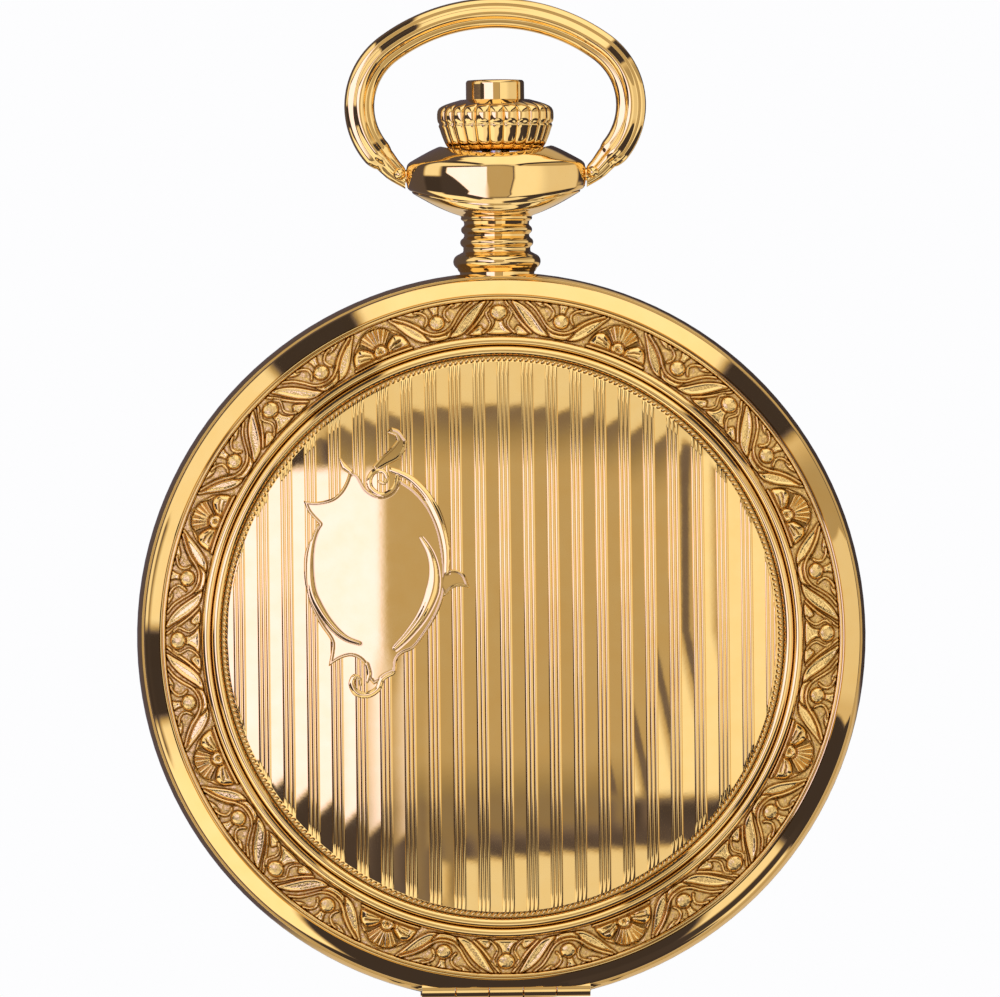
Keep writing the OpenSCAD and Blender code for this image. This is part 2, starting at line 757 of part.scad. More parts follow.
module jewels() color(ruby) placed() {
    for (at = [third_at, escape_at, pallet_at, balance_at])
        jewel_ring(at, jewel_r, pivot_r + running, 0.6, 0.9);
    for (at = [third_at, fourth_at, escape_at])
        jewel_ring(at, jewel_r, pivot_r + running, top_f + 0.2, top_f + 0.6);
    jewel_ring(pallet_at, 0.35, pivot_r + running, -1.45, -1.2);
    jewel_ring(balance_at, jewel_r, pivot_r + running, cock_f, cock_f + 0.3);
}

module screw(at, f, deep) {
    difference() {
        post(at, 0.75, f - 0.2, f);
        translate([at[0], -f + 0.2, at[1]]) cube([1.6, 0.2, 0.18], center = true);
    }
    post(at, 0.35, f, f + deep);
}

module bridge_screws() color(steel) placed() {
    for (at = concat(barrel_screw_at, train_screw_at))
        screw(at, top_f, 3);
    screw(cock_screw_at[0], cock_f, 3.6);
    screw(pallet_screw_at[0], -1.45, 2);
}

module case_screws() color(steel) placed() {
    for (at = case_screw_at) {
        difference() {
            post(at, 0.9, plate_f - 0.3, plate_f);
            translate([at[0], -plate_f + 0.25, at[1]]) cube([1.9, 0.2, 0.18], center = true);
        }
        post(at, 0.35, plate_f, plate_f + 0.8);
    }
}

// Power.
module barrel() color(brass) placed() {
    r = barrel_teeth * barrel_m / 2;
    translate([barrel_at[0], 0, barrel_at[1]]) difference() {
        union() {
            layer(0.3, 0.75) toothed(barrel_teeth, barrel_m, barrel_phase);
            post([0, 0], r - 0.45, -0.55, 0.35);
        }
        post([0, 0], r - 0.85, -0.35, 0.6);
        post([0, 0], 0.8 + running, -2, 2);
    }
}

module mainspring() color(steel) placed() {
    r = barrel_teeth * barrel_m / 2 - 0.87;
    translate([barrel_at[0], 0, barrel_at[1]])
        layer(-0.3, 0.55) spiral(1.45, r - 0.2, main_turns, 0.18);
}

module barrel_arbor() color(steel) placed() {
    translate([barrel_at[0], 0, barrel_at[1]]) {
        post([0, 0], 0.8 - running, top_f - 0.05, 1.15);
        post([0, 0], 1.42, -0.33, 0.58);
    }
}

module ratchet_wheel() color(steel) placed() {
    translate([barrel_at[0], 0, barrel_at[1]])
        layer(top_f - 0.4, top_f - 0.05) difference() {
            toothed(ratchet_teeth, ratchet_m, ratchet_phase);
            circle(0.4);
        }
}

module ratchet_screw() color(steel) placed() {
    difference() {
        post(barrel_at, 1.5, top_f - 0.6, top_f - 0.4);
        translate([barrel_at[0], -top_f + 0.55, barrel_at[1]]) cube([3.2, 0.2, 0.25], center = true);
    }
    post(barrel_at, 0.4, top_f - 0.4, top_f - 0.05);
}

module crown_wheel() color(steel) placed() {
    r = crown_teeth * ratchet_m / 2;
    translate([crown_at[0], 0, crown_at[1]]) {
        layer(top_f - 0.4, top_f - 0.05) toothed(crown_teeth, ratchet_m, 0);
        post([0, 0], 2.1 - running, top_f - 0.1, -1.3);
        layer(-1.42, -1.1) toothed(crown_teeth, ratchet_m, 0);
    }
}

module click() color(steel) placed() {
    pivot = click_at;
    difference() {
        layer(top_f - 0.35, top_f - 0.05) union() {
            translate(pivot) circle(0.9);
            translate(pivot) rotate(click_turn) polygon([[0, -0.7], [1.7, -0.2], [1.7, 0.2], [0, 0.7]]);
        }
        post(pivot, 0.35 + running, top_f - 1, 0);
    }
}

click_at = barrel_at + polar(ratchet_teeth * ratchet_m / 2 + 1.95, 68);
click_turn = 248;

module click_screw() color(steel) placed() {
    screw(click_at, top_f - 0.4, 1.0);
}

module winding_pinion() color(steel) placed() {
    translate([0, 0, winding_z]) difference() {
        linear_extrude(1.4) toothed(16, 2 * winding_r / 17.8, 0);
        translate([0, 0, -1]) cylinder(r = 0.5 + running, h = 5);
    }
}

module sliding_pinion() color(steel) placed() {
    translate([0, 0, clutch_z - 1.7]) difference() {
        union() {
            linear_extrude(0.3) toothed(16, 2 * clutch_r / 17.8, 0);
            translate([0, 0, 0.3]) cylinder(r = 0.62, h = 0.5);
            translate([0, 0, 0.8]) cylinder(r = clutch_r, h = 0.9);
        }
        translate([0, 0, -1]) cylinder(r = 0.5 + running, h = 5);
    }
}

module setting_lever() color(steel) placed() {
    layer(floor_f + 0.06, floor_f + 0.3) difference() {
        union() {
            translate(lever_at) circle(0.9);
            polygon([lever_at + [-0.1, 0.85], [2.1, 15.9], [2.1, 15.2], lever_at + [-0.4, -0.75]]);
        }
        translate(lever_at) circle(0.3 + running);
    }
}

// The yoke's finger stands in the groove of the sliding pinion.
module yoke() color(steel) placed() {
    layer(floor_f + 0.06, floor_f + 0.3) difference() {
        union() {
            translate(yoke_at) circle(0.9);
            polygon([
                yoke_at + [0, 0.85], yoke_at + [0, -0.85], [-1.2, groove_z - 0.3], [0.25, groove_z - 0.1],
                [0.25, groove_z + 0.1], [-1.2, groove_z + 0.3]
            ]);
        }
        translate(yoke_at) circle(0.3 + running);
    }
    layer(0.68, floor_f + 0.1) translate([-0.25, groove_z - 0.1]) square([0.5, 0.2]);
}

// Going train.
module centre_wheel() color(brass) placed() {
    layer(-1.35, -1.15) spoked(centre_teeth, centre_m, centre_phase, 1.4);
    layer(0.1, 0.7) toothed(centre_leaves, barrel_m, centre_phase);
    post([0, 0], 0.8, -1.2, 0.15);
    post([0, 0], 0.22, 0.1, dial_f + 0.85);
    post([0, 0], 0.35, -2.2, -1.2);
}

module centre_bush() color(ruby) placed() {
    jewel_ring([0, 0], 0.6, 0.35 + running, top_f + 0.2, top_f + 0.7);
}

module arbor(at, f0, f1) {
    post(at, pivot_r, f0, f1);
    post(at, 0.28, f0 + 0.45, f1 - 0.5);
}

module third_wheel() color(brass) placed() {
    translate([third_at[0], 0, third_at[1]]) {
        layer(-0.9, -0.7) spoked(third_teeth, third_m, third_phase, 1.1);
        layer(-1.5, -0.85) toothed(third_leaves, centre_m, third_phase);
        arbor([0, 0], top_f + 0.2, 0.85);
    }
}

module fourth_wheel() color(brass) placed() {
    translate([fourth_at[0], 0, fourth_at[1]]) {
        layer(-0.45, -0.25) spoked(fourth_teeth, fourth_m, fourth_phase, 1.0);
        layer(-1.05, -0.4) toothed(fourth_leaves, third_m, fourth_phase);
        post([0, 0], pivot_r, top_f + 0.2, 0);
        post([0, 0], 0.2, -1.2, dial_f + 0.46);
    }
}

module escape_wheel() color(steel) placed() {
    translate([escape_at[0], 0, escape_at[1]]) {
        layer(-0.85, -0.65) difference() {
            polygon([for (i = [0:14]) for (k = [[escape_r - 0.75, -7], [escape_r, 4], [escape_r, 6],
                [escape_r - 0.65, 9]]) polar(k[0], i * 24 + k[1])]);
            for (a = [45:90:315])
                sector(0.65, escape_r - 0.95, a - 32, a + 32);
        }
        layer(-0.7, -0.2) toothed(escape_leaves, fourth_m, escape_phase);
        arbor([0, 0], top_f + 0.2, 0.85);
    }
}

module pallet_fork() color(steel) placed() {
    along = heading(pallet_at, balance_at);
    translate([pallet_at[0], 0, pallet_at[1]]) {
        post([0, 0], pivot_r, -1.4, 0.85);
        post([0, 0], 0.25, -1.05, 0.4);
        layer(-0.85, -0.65) rotate(along) {
            polygon([[-0.4, -0.35], [2.75, -0.16], [2.75, 0.16], [-0.4, 0.35]]);
            polygon([[-0.3, -0.3], [-0.9, -1.75], [-0.55, -1.85], [0.3, 0], [-0.55, 1.85], [-0.9, 1.75], [-0.3, 0.3]]);
        }
    }
}

module balance_wheel() color(brass) placed() {
    translate([balance_at[0], 0, balance_at[1]]) {
        layer(-2.1, -1.7) difference() {
            circle(balance_r);
            sector(0.7, balance_r - 0.5, 5, 175);
            sector(0.7, balance_r - 0.5, 185, 355);
        }
        arbor([0, 0], cock_f + 0.03, 0.85);
        post([0, 0], 0.85, -1.3, -1.1);
        post(polar(0.62, heading(balance_at, pallet_at)), 0.1, -1.15, -0.6);
    }
}

module hairspring() color(blue) placed() {
    stud_a = heading(balance_at, cock_screw_at[0]);
    translate([balance_at[0], 0, balance_at[1]]) rotate([0, -stud_a, 0]) {
        layer(-2.4, -2.28) spiral(0.5, 3.0, hair_turns, 0.07);
        layer(cock_f + 0.55, -2.25) translate([2.95, -0.1]) square([0.4, 0.35]);
    }
}

case_middle();
pendant();
pendant_sleeve();
bow_screws();
bow();
crown();
winding_stem();
push_piece();
push_rod();
push_collar();
push_spring();
lock_spring();
lift_spring();
front_cover();
back_cover();
front_hinge_pin();
back_hinge_pin();
front_bezel();
back_bezel();
crystal();
back_glass();
movement_ring();
dial();
hour_hand();
minute_hand();
seconds_hand();
cannon_pinion();
hour_wheel();
minute_wheel();
setting_wheel();
main_plate();
barrel_bridge();
train_bridge();
pallet_bridge();
balance_cock();
jewels();
bridge_screws();
case_screws();
barrel();
mainspring();
barrel_arbor();
ratchet_wheel();
ratchet_screw();
crown_wheel();
click();
click_screw();
winding_pinion();
sliding_pinion();
setting_lever();
yoke();
centre_wheel();
centre_bush();
third_wheel();
fourth_wheel();
escape_wheel();
pallet_fork();
balance_wheel();
hairspring();
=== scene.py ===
import json
import math
from functools import partial

import bmesh
import bpy
import numpy as np
from mathutils import Matrix, Vector

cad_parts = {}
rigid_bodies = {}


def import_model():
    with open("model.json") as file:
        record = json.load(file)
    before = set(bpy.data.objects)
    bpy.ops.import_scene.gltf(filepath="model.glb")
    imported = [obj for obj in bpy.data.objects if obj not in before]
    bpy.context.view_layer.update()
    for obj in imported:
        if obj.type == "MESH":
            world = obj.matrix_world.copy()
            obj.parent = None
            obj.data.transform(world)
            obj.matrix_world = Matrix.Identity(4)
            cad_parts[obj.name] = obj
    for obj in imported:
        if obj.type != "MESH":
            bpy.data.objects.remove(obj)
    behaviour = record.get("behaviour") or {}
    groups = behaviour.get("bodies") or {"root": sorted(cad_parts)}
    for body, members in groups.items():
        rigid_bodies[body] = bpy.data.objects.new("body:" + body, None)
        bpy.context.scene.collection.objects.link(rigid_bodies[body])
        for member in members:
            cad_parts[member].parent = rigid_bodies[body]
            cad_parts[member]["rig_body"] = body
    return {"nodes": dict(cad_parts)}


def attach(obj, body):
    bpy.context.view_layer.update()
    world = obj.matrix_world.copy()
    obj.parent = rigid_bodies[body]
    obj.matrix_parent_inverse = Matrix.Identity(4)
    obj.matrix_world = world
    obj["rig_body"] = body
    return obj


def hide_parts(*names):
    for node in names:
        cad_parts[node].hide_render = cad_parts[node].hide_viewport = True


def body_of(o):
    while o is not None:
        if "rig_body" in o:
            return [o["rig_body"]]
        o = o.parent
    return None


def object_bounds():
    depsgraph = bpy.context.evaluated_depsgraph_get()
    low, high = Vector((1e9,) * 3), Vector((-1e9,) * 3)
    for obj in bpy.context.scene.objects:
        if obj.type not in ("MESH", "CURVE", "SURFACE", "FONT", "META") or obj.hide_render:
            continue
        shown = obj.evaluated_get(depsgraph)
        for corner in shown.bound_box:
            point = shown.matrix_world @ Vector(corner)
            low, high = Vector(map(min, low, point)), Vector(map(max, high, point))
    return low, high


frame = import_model()
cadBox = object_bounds()
nodes = frame["nodes"]
print("frame loaded:", len(nodes), "nodes")

# The work is drawn in millimetres: x to the right, f forward out of the case's middle plane,
# z up from the middle of the case. The frame's origin is the inside top of the bow.
mm = 0.001
hangZ = 41.77
weld = 1e-7  # points closer than this, in metres, are one


def linear(hexColour):
    values = [int(hexColour[i:i + 2], 16) / 255 for i in (1, 3, 5)]
    return tuple(v / 12.92 if v <= 0.04045 else ((v + 0.055) / 1.055) ** 2.4 for v in values) + (1.0,)


def addNode(tree, kind, inputs=None, **settings):
    # Adds a node, sets or links its inputs (a list makes several links) and returns its outputs.
    node = tree.nodes.new(kind)
    for key, value in settings.items():
        setattr(node, key, value)
    for socket, given in (inputs or {}).items():
        for value in given if isinstance(given, list) else [given]:
            if isinstance(value, bpy.types.NodeSocket):
                tree.links.new(value, node.inputs[socket])
            else:
                node.inputs[socket].default_value = value
    return node.outputs


def inRow(points):
    p = np.asarray(points, dtype=float)
    return np.stack([p[..., 0], -p[..., 1], p[..., 2] - hangZ], axis=-1) * mm


def tidyMesh(mesh, sharp=32):
    bm = bmesh.new()
    bm.from_mesh(mesh)
    bmesh.ops.remove_doubles(bm, verts=bm.verts, dist=weld)
    bmesh.ops.dissolve_degenerate(bm, edges=bm.edges, dist=weld)
    bmesh.ops.recalc_face_normals(bm, faces=bm.faces)
    bm.to_mesh(mesh)
    bm.free()
    mesh.polygons.foreach_set("use_smooth", [True] * len(mesh.polygons))
    mesh.set_sharp_from_angle(angle=math.radians(sharp))
    mesh.update()
    return mesh


def gridMesh(name, sharp, *grids):
    # One mesh of several grids of points. Each says whether it closes along its rows and its columns.
    verts, faces, count = [], [], 0
    for points, wrapU, wrapV in grids:
        nu, nv = points.shape[:2]
        a, b = np.meshgrid(np.arange(nu if wrapU else nu - 1), np.arange(nv if wrapV else nv - 1), indexing="ij")
        near, far, b2 = a * nv + count, (a + 1) % nu * nv + count, (b + 1) % nv
        faces += np.stack([near + b, far + b, far + b2, near + b2], axis=-1).reshape(-1, 4).tolist()
        verts.append(inRow(points).reshape(-1, 3))
        count += nu * nv
    mesh = bpy.data.meshes.new(name)
    mesh.from_pydata(np.concatenate(verts), [], faces)
    return tidyMesh(mesh, sharp)


def place(mesh, material, body, *replaced, slot=None):
    obj = bpy.data.objects.new(mesh.name, mesh)
    bpy.context.scene.collection.objects.link(obj)
    mesh.materials.clear()
    mesh.materials.append(material)
    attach(obj, body)
    if replaced:
        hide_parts(*replaced)


def placeGold(mesh, body, *replaced, material=None):
    place(mesh, material or gold, body, *replaced, slot="gold_plate")


def lathe(profile, segments):
    # Turns (radius, height) pairs: the points' sine side, height and cosine side.
    r, h = np.array([tuple(q) for q in profile]).T
    a = np.arange(segments) * 2 * math.pi / segments
    x = np.outer(np.sin(a), r)
    return np.stack([x, np.broadcast_to(h, x.shape), np.outer(np.cos(a), r)], axis=-1)


def arc(cx, cy, r, start, end, steps):
    turns = [math.radians(start + (end - start) * i / steps) for i in range(steps + 1)]
    return [(cx + r * math.cos(t), cy + r * math.sin(t)) for t in turns]


def between(a, b, c, d, t):
    # The point at t on a smooth curve from b to c, with a before and d after them.
    return 0.5 * (2 * b + (c - a) * t + (2 * a - 5 * b + 4 * c - d) * t * t + (3 * b - 3 * c + d - a) * t ** 3)


def curvePoints(points, steps=6, closed=False):
    p = np.array(points, float)
    n = len(p)
    out = []
    for i in range(n if closed else n - 1):
        four = [p[(i + k) % n] if closed else p[min(max(i + k, 0), n - 1)] for k in (-1, 0, 1, 2)]
        out += [between(*four, k / steps) for k in range(steps)]
    return np.array(out if closed else out + [p[-1]])


def stepDistance(u, v, a, b):
    # Distance to the line from a to b, and how far along it the nearest point lies.
    (ax, ay), (bx, by) = a, b
    dx, dy = bx - ax, by - ay
    t = np.clip(((u - ax) * dx + (v - ay) * dy) / max(dx * dx + dy * dy, 1e-12), 0, 1)
    return np.hypot(u - ax - t * dx, v - ay - t * dy), t


def lineDistance(u, v, points):
    best = np.full(u.shape, 1e9)
    for a, b in zip(points[:-1], points[1:]):
        best = np.minimum(best, stepDistance(u, v, a, b)[0])
    return best


def areaDistance(u, v, points):
    # Distance to an outline, negative inside it.
    closed = [*points, points[0]]
    inside = np.zeros(u.shape, bool)
    for (ax, ay), (bx, by) in zip(closed[:-1], closed[1:]):
        if ay != by:
            inside ^= ((ay > v) != (by > v)) & (u < (bx - ax) * (v - ay) / (by - ay) + ax)
    d = lineDistance(u, v, closed)
    return np.where(inside, -d, d)


def ramp(x, low, high):
    t = np.clip((x - low) / (high - low), 0, 1)
    return t * t * (3 - 2 * t)


def ridge(d, width, height=1.0):
    return height * np.sqrt(np.clip(1 - (d / width) ** 2, 0, 1))


def newMaterial(name, surface, *looks):
    # surface adds its own nodes with add, and returns what goes into the shader.
    material = bpy.data.materials.new(name)
    material.use_nodes = True
    tree = material.node_tree
    tree.nodes.clear()
    add = partial(addNode, tree)
    where = add("ShaderNodeTexCoord")["Object"]
    shader = add("ShaderNodeBsdfPrincipled", surface(add, where, *looks))
    add("ShaderNodeOutputMaterial", {"Surface": shader["BSDF"]})
    return material


def metalLooks(add, colour, mask, smooth, rough, height, strength, depth):
    # A metal's colour, its gloss from smooth to rough where the mask says, and its fine relief.
    gloss = add("ShaderNodeMapRange", {"Value": mask, "To Min": smooth, "To Max": rough})
    bump = add("ShaderNodeBump", {"Height": height, "Strength": strength, "Distance": depth})
    return {"Base Color": colour, "Metallic": 1, "Roughness": gloss["Result"], "Normal": bump["Normal"]}


def buffedPlate(add, where):
    # Mirror-like, with a faint buffing haze and tiny dents; brown painted shade darkens the narrow grooves and
    # hollows.
    haze = add("ShaderNodeTexNoise", {"Vector": where, "Scale": 700, "Detail": 3})["Fac"]
    tone = add("ShaderNodeMix", {"Factor": haze, 6: linear("#fcd486"), 7: linear("#ffdf9b")}, data_type="RGBA")
    painted_shade = add("ShaderNodeAttribute", attribute_name="painted_shade")["Fac"]
    # Painted shade: the colour turns brown where the attribute marks grooves and hollows.
    painted_shade_tone = add("ShaderNodeMix", {"Factor": painted_shade, 6: tone[2], 7: linear("#70491d")}, data_type="RGBA")
    skin = add("ShaderNodeTexNoise", {"Vector": where, "Scale": 2600, "Detail": 2})
    return metalLooks(add, painted_shade_tone[2], haze, 0.02, 0.05, skin["Fac"], 0.03, 0.00001)


def stampedPlate(add, where):
    # Bright on the raised lines, matted by a punch on the ground (dots about 0.16 mm apart), and darker in the
    # hollows and sunk lines, which is painted shade.
    matted, painted_shade = (add("ShaderNodeAttribute", attribute_name=q)["Fac"] for q in ("matted", "painted_shade"))
    dots = add("ShaderNodeTexVoronoi", {"Vector": where, "Scale": 6200})["Distance"]
    grain = add("ShaderNodeTexNoise", {"Vector": where, "Scale": 5200, "Detail": 2})["Fac"]
    height = add("ShaderNodeMath", {0: dots, 1: grain}, operation="ADD")
    power = add("ShaderNodeMapRange", {"Value": matted, "To Min": 0.03, "To Max": 0.4})["Result"]
    # Painted shade: pale gold, then deeper gold, then near black where the shade is deepest.
    tone = add("ShaderNodeValToRGB", {"Fac": painted_shade})["Color"]
    stops = tone.node.color_ramp.elements
    stops[0].color = linear("#ffda90")
    stops[1].color = linear("#2a1a08")
    stops.new(0.5).color = linear("#cf9f55")
    return metalLooks(add, tone, matted, 0.07, 0.28, height[0], power, 0.00005)


def grainedMetal(add, where, low, high, smooth, rough, scale, strength, stretch=(1, 1, 1)):
    # Two tones and a grain; stretch draws the grain out into streaks.
    spread = add("ShaderNodeMapping", {"Vector": where, "Scale": stretch})
    grain = add("ShaderNodeTexNoise", {"Vector": spread[0], "Scale": scale, "Detail": 3})["Fac"]
    tone = add("ShaderNodeMix", {"Factor": grain, 6: linear(low), 7: linear(high)}, data_type="RGBA")
    return metalLooks(add, tone[2], grain, smooth, rough, grain, strength, 0.00002)


def stripedPlate(add, where):
    # Broad stripes, each cut a little hollow, with a fine scratch grain along them; the colour is also painted dark
    # to pale across each stripe, as painted shade and sheen.
    wave = add("ShaderNodeTexWave", {"Vector": where, "Scale": 143, "Distortion": 0},
               wave_type="BANDS", bands_direction="DIAGONAL", wave_profile="SAW")["Fac"]
    spread = add("ShaderNodeMapping", {"Vector": where, "Rotation": (0, 0.785, 0), "Scale": (1, 1, 0.06)})
    grain = add("ShaderNodeTexNoise", {"Vector": spread[0], "Scale": 9000, "Detail": 3})["Fac"]
    middle = add("ShaderNodeMath", {0: wave, 1: 0.5}, operation="SUBTRACT")[0]
    arch = add("ShaderNodeMath", {0: middle, 1: middle}, operation="MULTIPLY")[0]
    # Painted shade and sheen: the stripe wave, with the grain, sets the colour from dark grey to pale.
    shade = add("ShaderNodeMath", {0: wave, 1: grain}, operation="ADD")[0]
    half = add("ShaderNodeMath", {0: shade, 1: 0.5}, operation="MULTIPLY")[0]
    tone = add("ShaderNodeMix", {"Factor": half, 6: linear("#a9a396"), 7: linear("#efebe2")}, data_type="RGBA")
    cut = add("ShaderNodeMath", {0: grain, 1: 0.06}, operation="MULTIPLY")[0]
    level = add("ShaderNodeMath", {0: arch, 1: cut}, operation="ADD")[0]
    return metalLooks(add, tone[2], grain, 0.16, 0.3, level, 0.36, 0.0006)


def speckled(add, where, low, high, scale, looks):
    # A surface of one colour with a soft cloud in it.
    cloud = add("ShaderNodeTexNoise", {"Vector": where, "Scale": scale})
    tone = add("ShaderNodeMix", {"Factor": cloud["Fac"], 6: linear(low), 7: linear(high)}, data_type="RGBA")
    return {"Base Color": tone[2], **looks}


def clearGlass(add, where):
    wipe = add("ShaderNodeTexNoise", {"Vector": where, "Scale": 90})
    gloss = add("ShaderNodeMapRange", {"Value": wipe["Fac"], "To Min": 0, "To Max": 0.03})
    return {"Base Color": linear("#fbfdfc"), "Roughness": gloss["Result"], "IOR": 1.5, "Transmission Weight": 1}


def firedEnamel(add, where):
    cloud = add("ShaderNodeTexNoise", {"Vector": where, "Scale": 160, "Detail": 4})
    tone = add("ShaderNodeMix", {"Factor": cloud["Fac"], 6: linear("#f4f1e7"), 7: linear("#fdfcf6")},
               data_type="RGBA")
    skin = add("ShaderNodeTexNoise", {"Vector": where, "Scale": 900})
    bump = add("ShaderNodeBump", {"Height": skin["Fac"], "Strength": 0.04, "Distance": 0.00002})
    return {"Base Color": tone[2], "Roughness": 0.16, "Coat Weight": 0.6, "Coat Roughness": 0.03,
            "Normal": bump["Normal"]}


# Yellow gold plate over brass, buffed on the case and stamped and matted on the borders.
gold = newMaterial("goldPlateBuffed", buffedPlate)
goldBorder = newMaterial("goldPlateStampedAndMatted", stampedPlate)
# Steel polished flat with fine grit: bright grey, a soft streaky grain.
steel = newMaterial("steelPolished", grainedMetal, "#b9bcc2", "#dfe1e4", 0.12, 0.24, 3000, 0.1, (1, 1, 0.15))
# Brass dipped and gilt: a quiet yellow with a frosted bloom.
brass = newMaterial("brassGilt", grainedMetal, "#c9963f", "#edc573", 0.22, 0.4, 6000, 0.25)
# Nickel plate with broad stripes about 3 mm apart: bands of light that swing as the bridges turn, over painted
# shade and sheen that run dark to pale across each stripe.
nickel = newMaterial("nickelPlateStriped", stripedPlate)
# Steel heated to blue: deep blue, glossy.
blued = newMaterial("steelBlued", grainedMetal, "#121f52", "#24408f", 0.12, 0.2, 2500, 0.05)
# Synthetic ruby: a clear deep pink-red bearing stone.
ruby = newMaterial("rubySynthetic", speckled, "#a3123a", "#d8325f", 1500,
                   {"Roughness": 0.06, "IOR": 1.77, "Transmission Weight": 0.35})
# Ground and polished mineral glass, almost without tint.
glass = newMaterial("mineralGlassPolished", clearGlass)
# Fired white enamel: milky, glossy, with a very slight orange-peel skin.
white = newMaterial("enamelFiredWhite", firedEnamel)
# Fired black dial paint: near black, slightly raised, half glossy.
ink = newMaterial("dialPaintBlack", speckled, "#101013", "#1e1d22", 4000, {"Roughness": 0.32})
# Pale matt paper for the floor.
paper = newMaterial("floorPalePaper", speckled, "#fbfbfc", "#ffffff", 400, {"Roughness": 0.9})

finishOf = {
    gold: "case_middle pendant bow_screws bow crown push_piece front_cover back_cover front_bezel back_bezel",
    steel: "push_rod pendant_sleeve winding_stem push_collar push_spring lock_spring lift_spring front_hinge_pin "
           "back_hinge_pin cannon_pinion bridge_screws case_screws mainspring barrel_arbor ratchet_wheel "
           "ratchet_screw crown_wheel click click_screw winding_pinion sliding_pinion setting_lever yoke "
           "escape_wheel pallet_fork",
    nickel: "movement_ring main_plate barrel_bridge train_bridge pallet_bridge balance_cock",
    brass: "hour_wheel minute_wheel setting_wheel barrel centre_wheel third_wheel fourth_wheel balance_wheel",
    blued: "hour_hand minute_hand seconds_hand hairspring",
    ruby: "jewels centre_bush",
    glass: "crystal back_glass",
    white: "dial",
}
for material, names in finishOf.items():
    for name in names.split():
        nodes[name].data.materials.clear()
        nodes[name].data.materials.append(material)
print("materials on", sum(len(v.split()) for v in finishOf.values()), "nodes")


covers = {"front_cover": (0.5, 1), "back_cover": (0.9, -1)}  # height of the rim, and the side it faces
coverSizes = {
    "fieldR": 18.85, "lipR": 23.2, "half": 2.6, "wall": 0.5, "domeRise": 1.85, "domeFoot": 0.85, "rings": 14,
    "seat": 0.16, "segments": 384, "backDrop": 0.1, "grooves": (19.24, 19.94, 20.61, 23.04, 23.34),
    "grooveHalf": 0.03,
}
hingeSizes = {"z": -24.1, "r": 0.6, "bore": 0.28, "length": 11.6, "knuckles": 5, "gap": 0.03, "flatZ": -24.0}
bandSizes = {"halfMotif": 128, "across": 44, "inner": 20.6, "outer": 23.06, "length": 8.56, "repeats": 8,
             "relief": 1.45}
reedSizes = {"pitch": 1.655, "shift": 0.2, "group": 0.42, "rows": 76, "height": 0.1, "under": 0.14,
             "ribs": (-0.28, 0.0, 0.28), "ribHalf": 0.125}
ropeSizes = {"ringR": 19.04, "pearls": 320, "pearlR": 0.13, "stretch": 1.5, "slant": 0.75, "rise": 0.66}

# The outside of a cover from its field to its rim: radius, and height over the border's level.
coverTurning = [(18.85, 0.66), (19.1, 0.5), (19.24, 0.5)] + arc(19.6, 0.5, 0.32, 160, 12, 12) + [(19.94, 0.4)]
coverTurning += arc(20.27, 0.4, 0.31, 165, 5, 12) + [(20.6, 0.3), (20.62, 0.1), (23.02, -0.34), (23.06, -0.14)]
coverTurning += arc(23.2, -0.06, 0.1, 160, 20, 6) + [(23.34, -0.16), (23.42, -0.14), (23.5, -0.05)]
coverTurning += [(23.5 + t * 0.94, -0.05 - 0.63 * t - 0.035 * math.sin(math.pi * t))
                 for t in (0.06, 0.2, 0.4, 0.6, 0.8, 0.94)]
coverTurning += [(24.47, -0.72), (24.53, -0.8), (24.55, -0.88)]


def bandLevel(rim):
    return coverSizes["half"] + rim + 0.8


def domeHeight(r, rim):
    s = coverSizes
    return bandLevel(rim) + s["domeFoot"] + s["domeRise"] * (1 - (r / s["fieldR"]) ** 2)


def coverShell(rim, side):
    s, g = coverSizes, hingeSizes
    level, h, lip, wall = bandLevel(rim), s["half"], s["lipR"], s["wall"]
    radii = np.linspace(0, s["fieldR"] - 0.15, s["rings"])
    profile = [(r, domeHeight(r, rim) - s["seat"]) for r in radii] + [(r, level + f) for r, f in coverTurning]
    profile += [(24.55, h + 0.05), (24.5, h), (lip, h), (lip - 0.1, h), (lip - 0.1, h - wall)]
    profile += [(lip - 0.4, h - wall), (lip - 0.8, level - 0.65), (19.9, level - 0.05), (18.65, level + 0.36)]
    profile += [(r, domeHeight(r, rim) - wall) for r in radii[::-1]]
    shell = lathe(profile, s["segments"])
    shell[..., 2] = np.maximum(shell[..., 2], g["flatZ"])
    grids = [(shell, True, False)]
    part = g["length"] / g["knuckles"]
    for i in range(1, g["knuckles"], 2):
        x0 = -g["length"] / 2 + i * part + g["gap"]
        x1 = x0 + part - 2 * g["gap"]
        r, bore = g["r"], g["bore"]
        loop = [(bore, x0), (r - 0.05, x0), (r, x0 + 0.05), (r, x1 - 0.05), (r - 0.05, x1), (bore, x1)]
        grids.append((lathe(loop, 32)[..., [1, 2, 0]] + (0, h, g["z"]), True, True))
        web = [(h + 0.05, -23.8), (h + 0.55, -23.8), (h + 0.55, -22.9), (h + 0.05, -22.9)]
        grids.append((np.array([[(x, f, z) for f, z in web] for x in (x0 + 0.05, x1 - 0.05)]), False, True))
    return [(points * (1, side, 1), wrapU, wrapV) for points, wrapU, wrapV in grids]


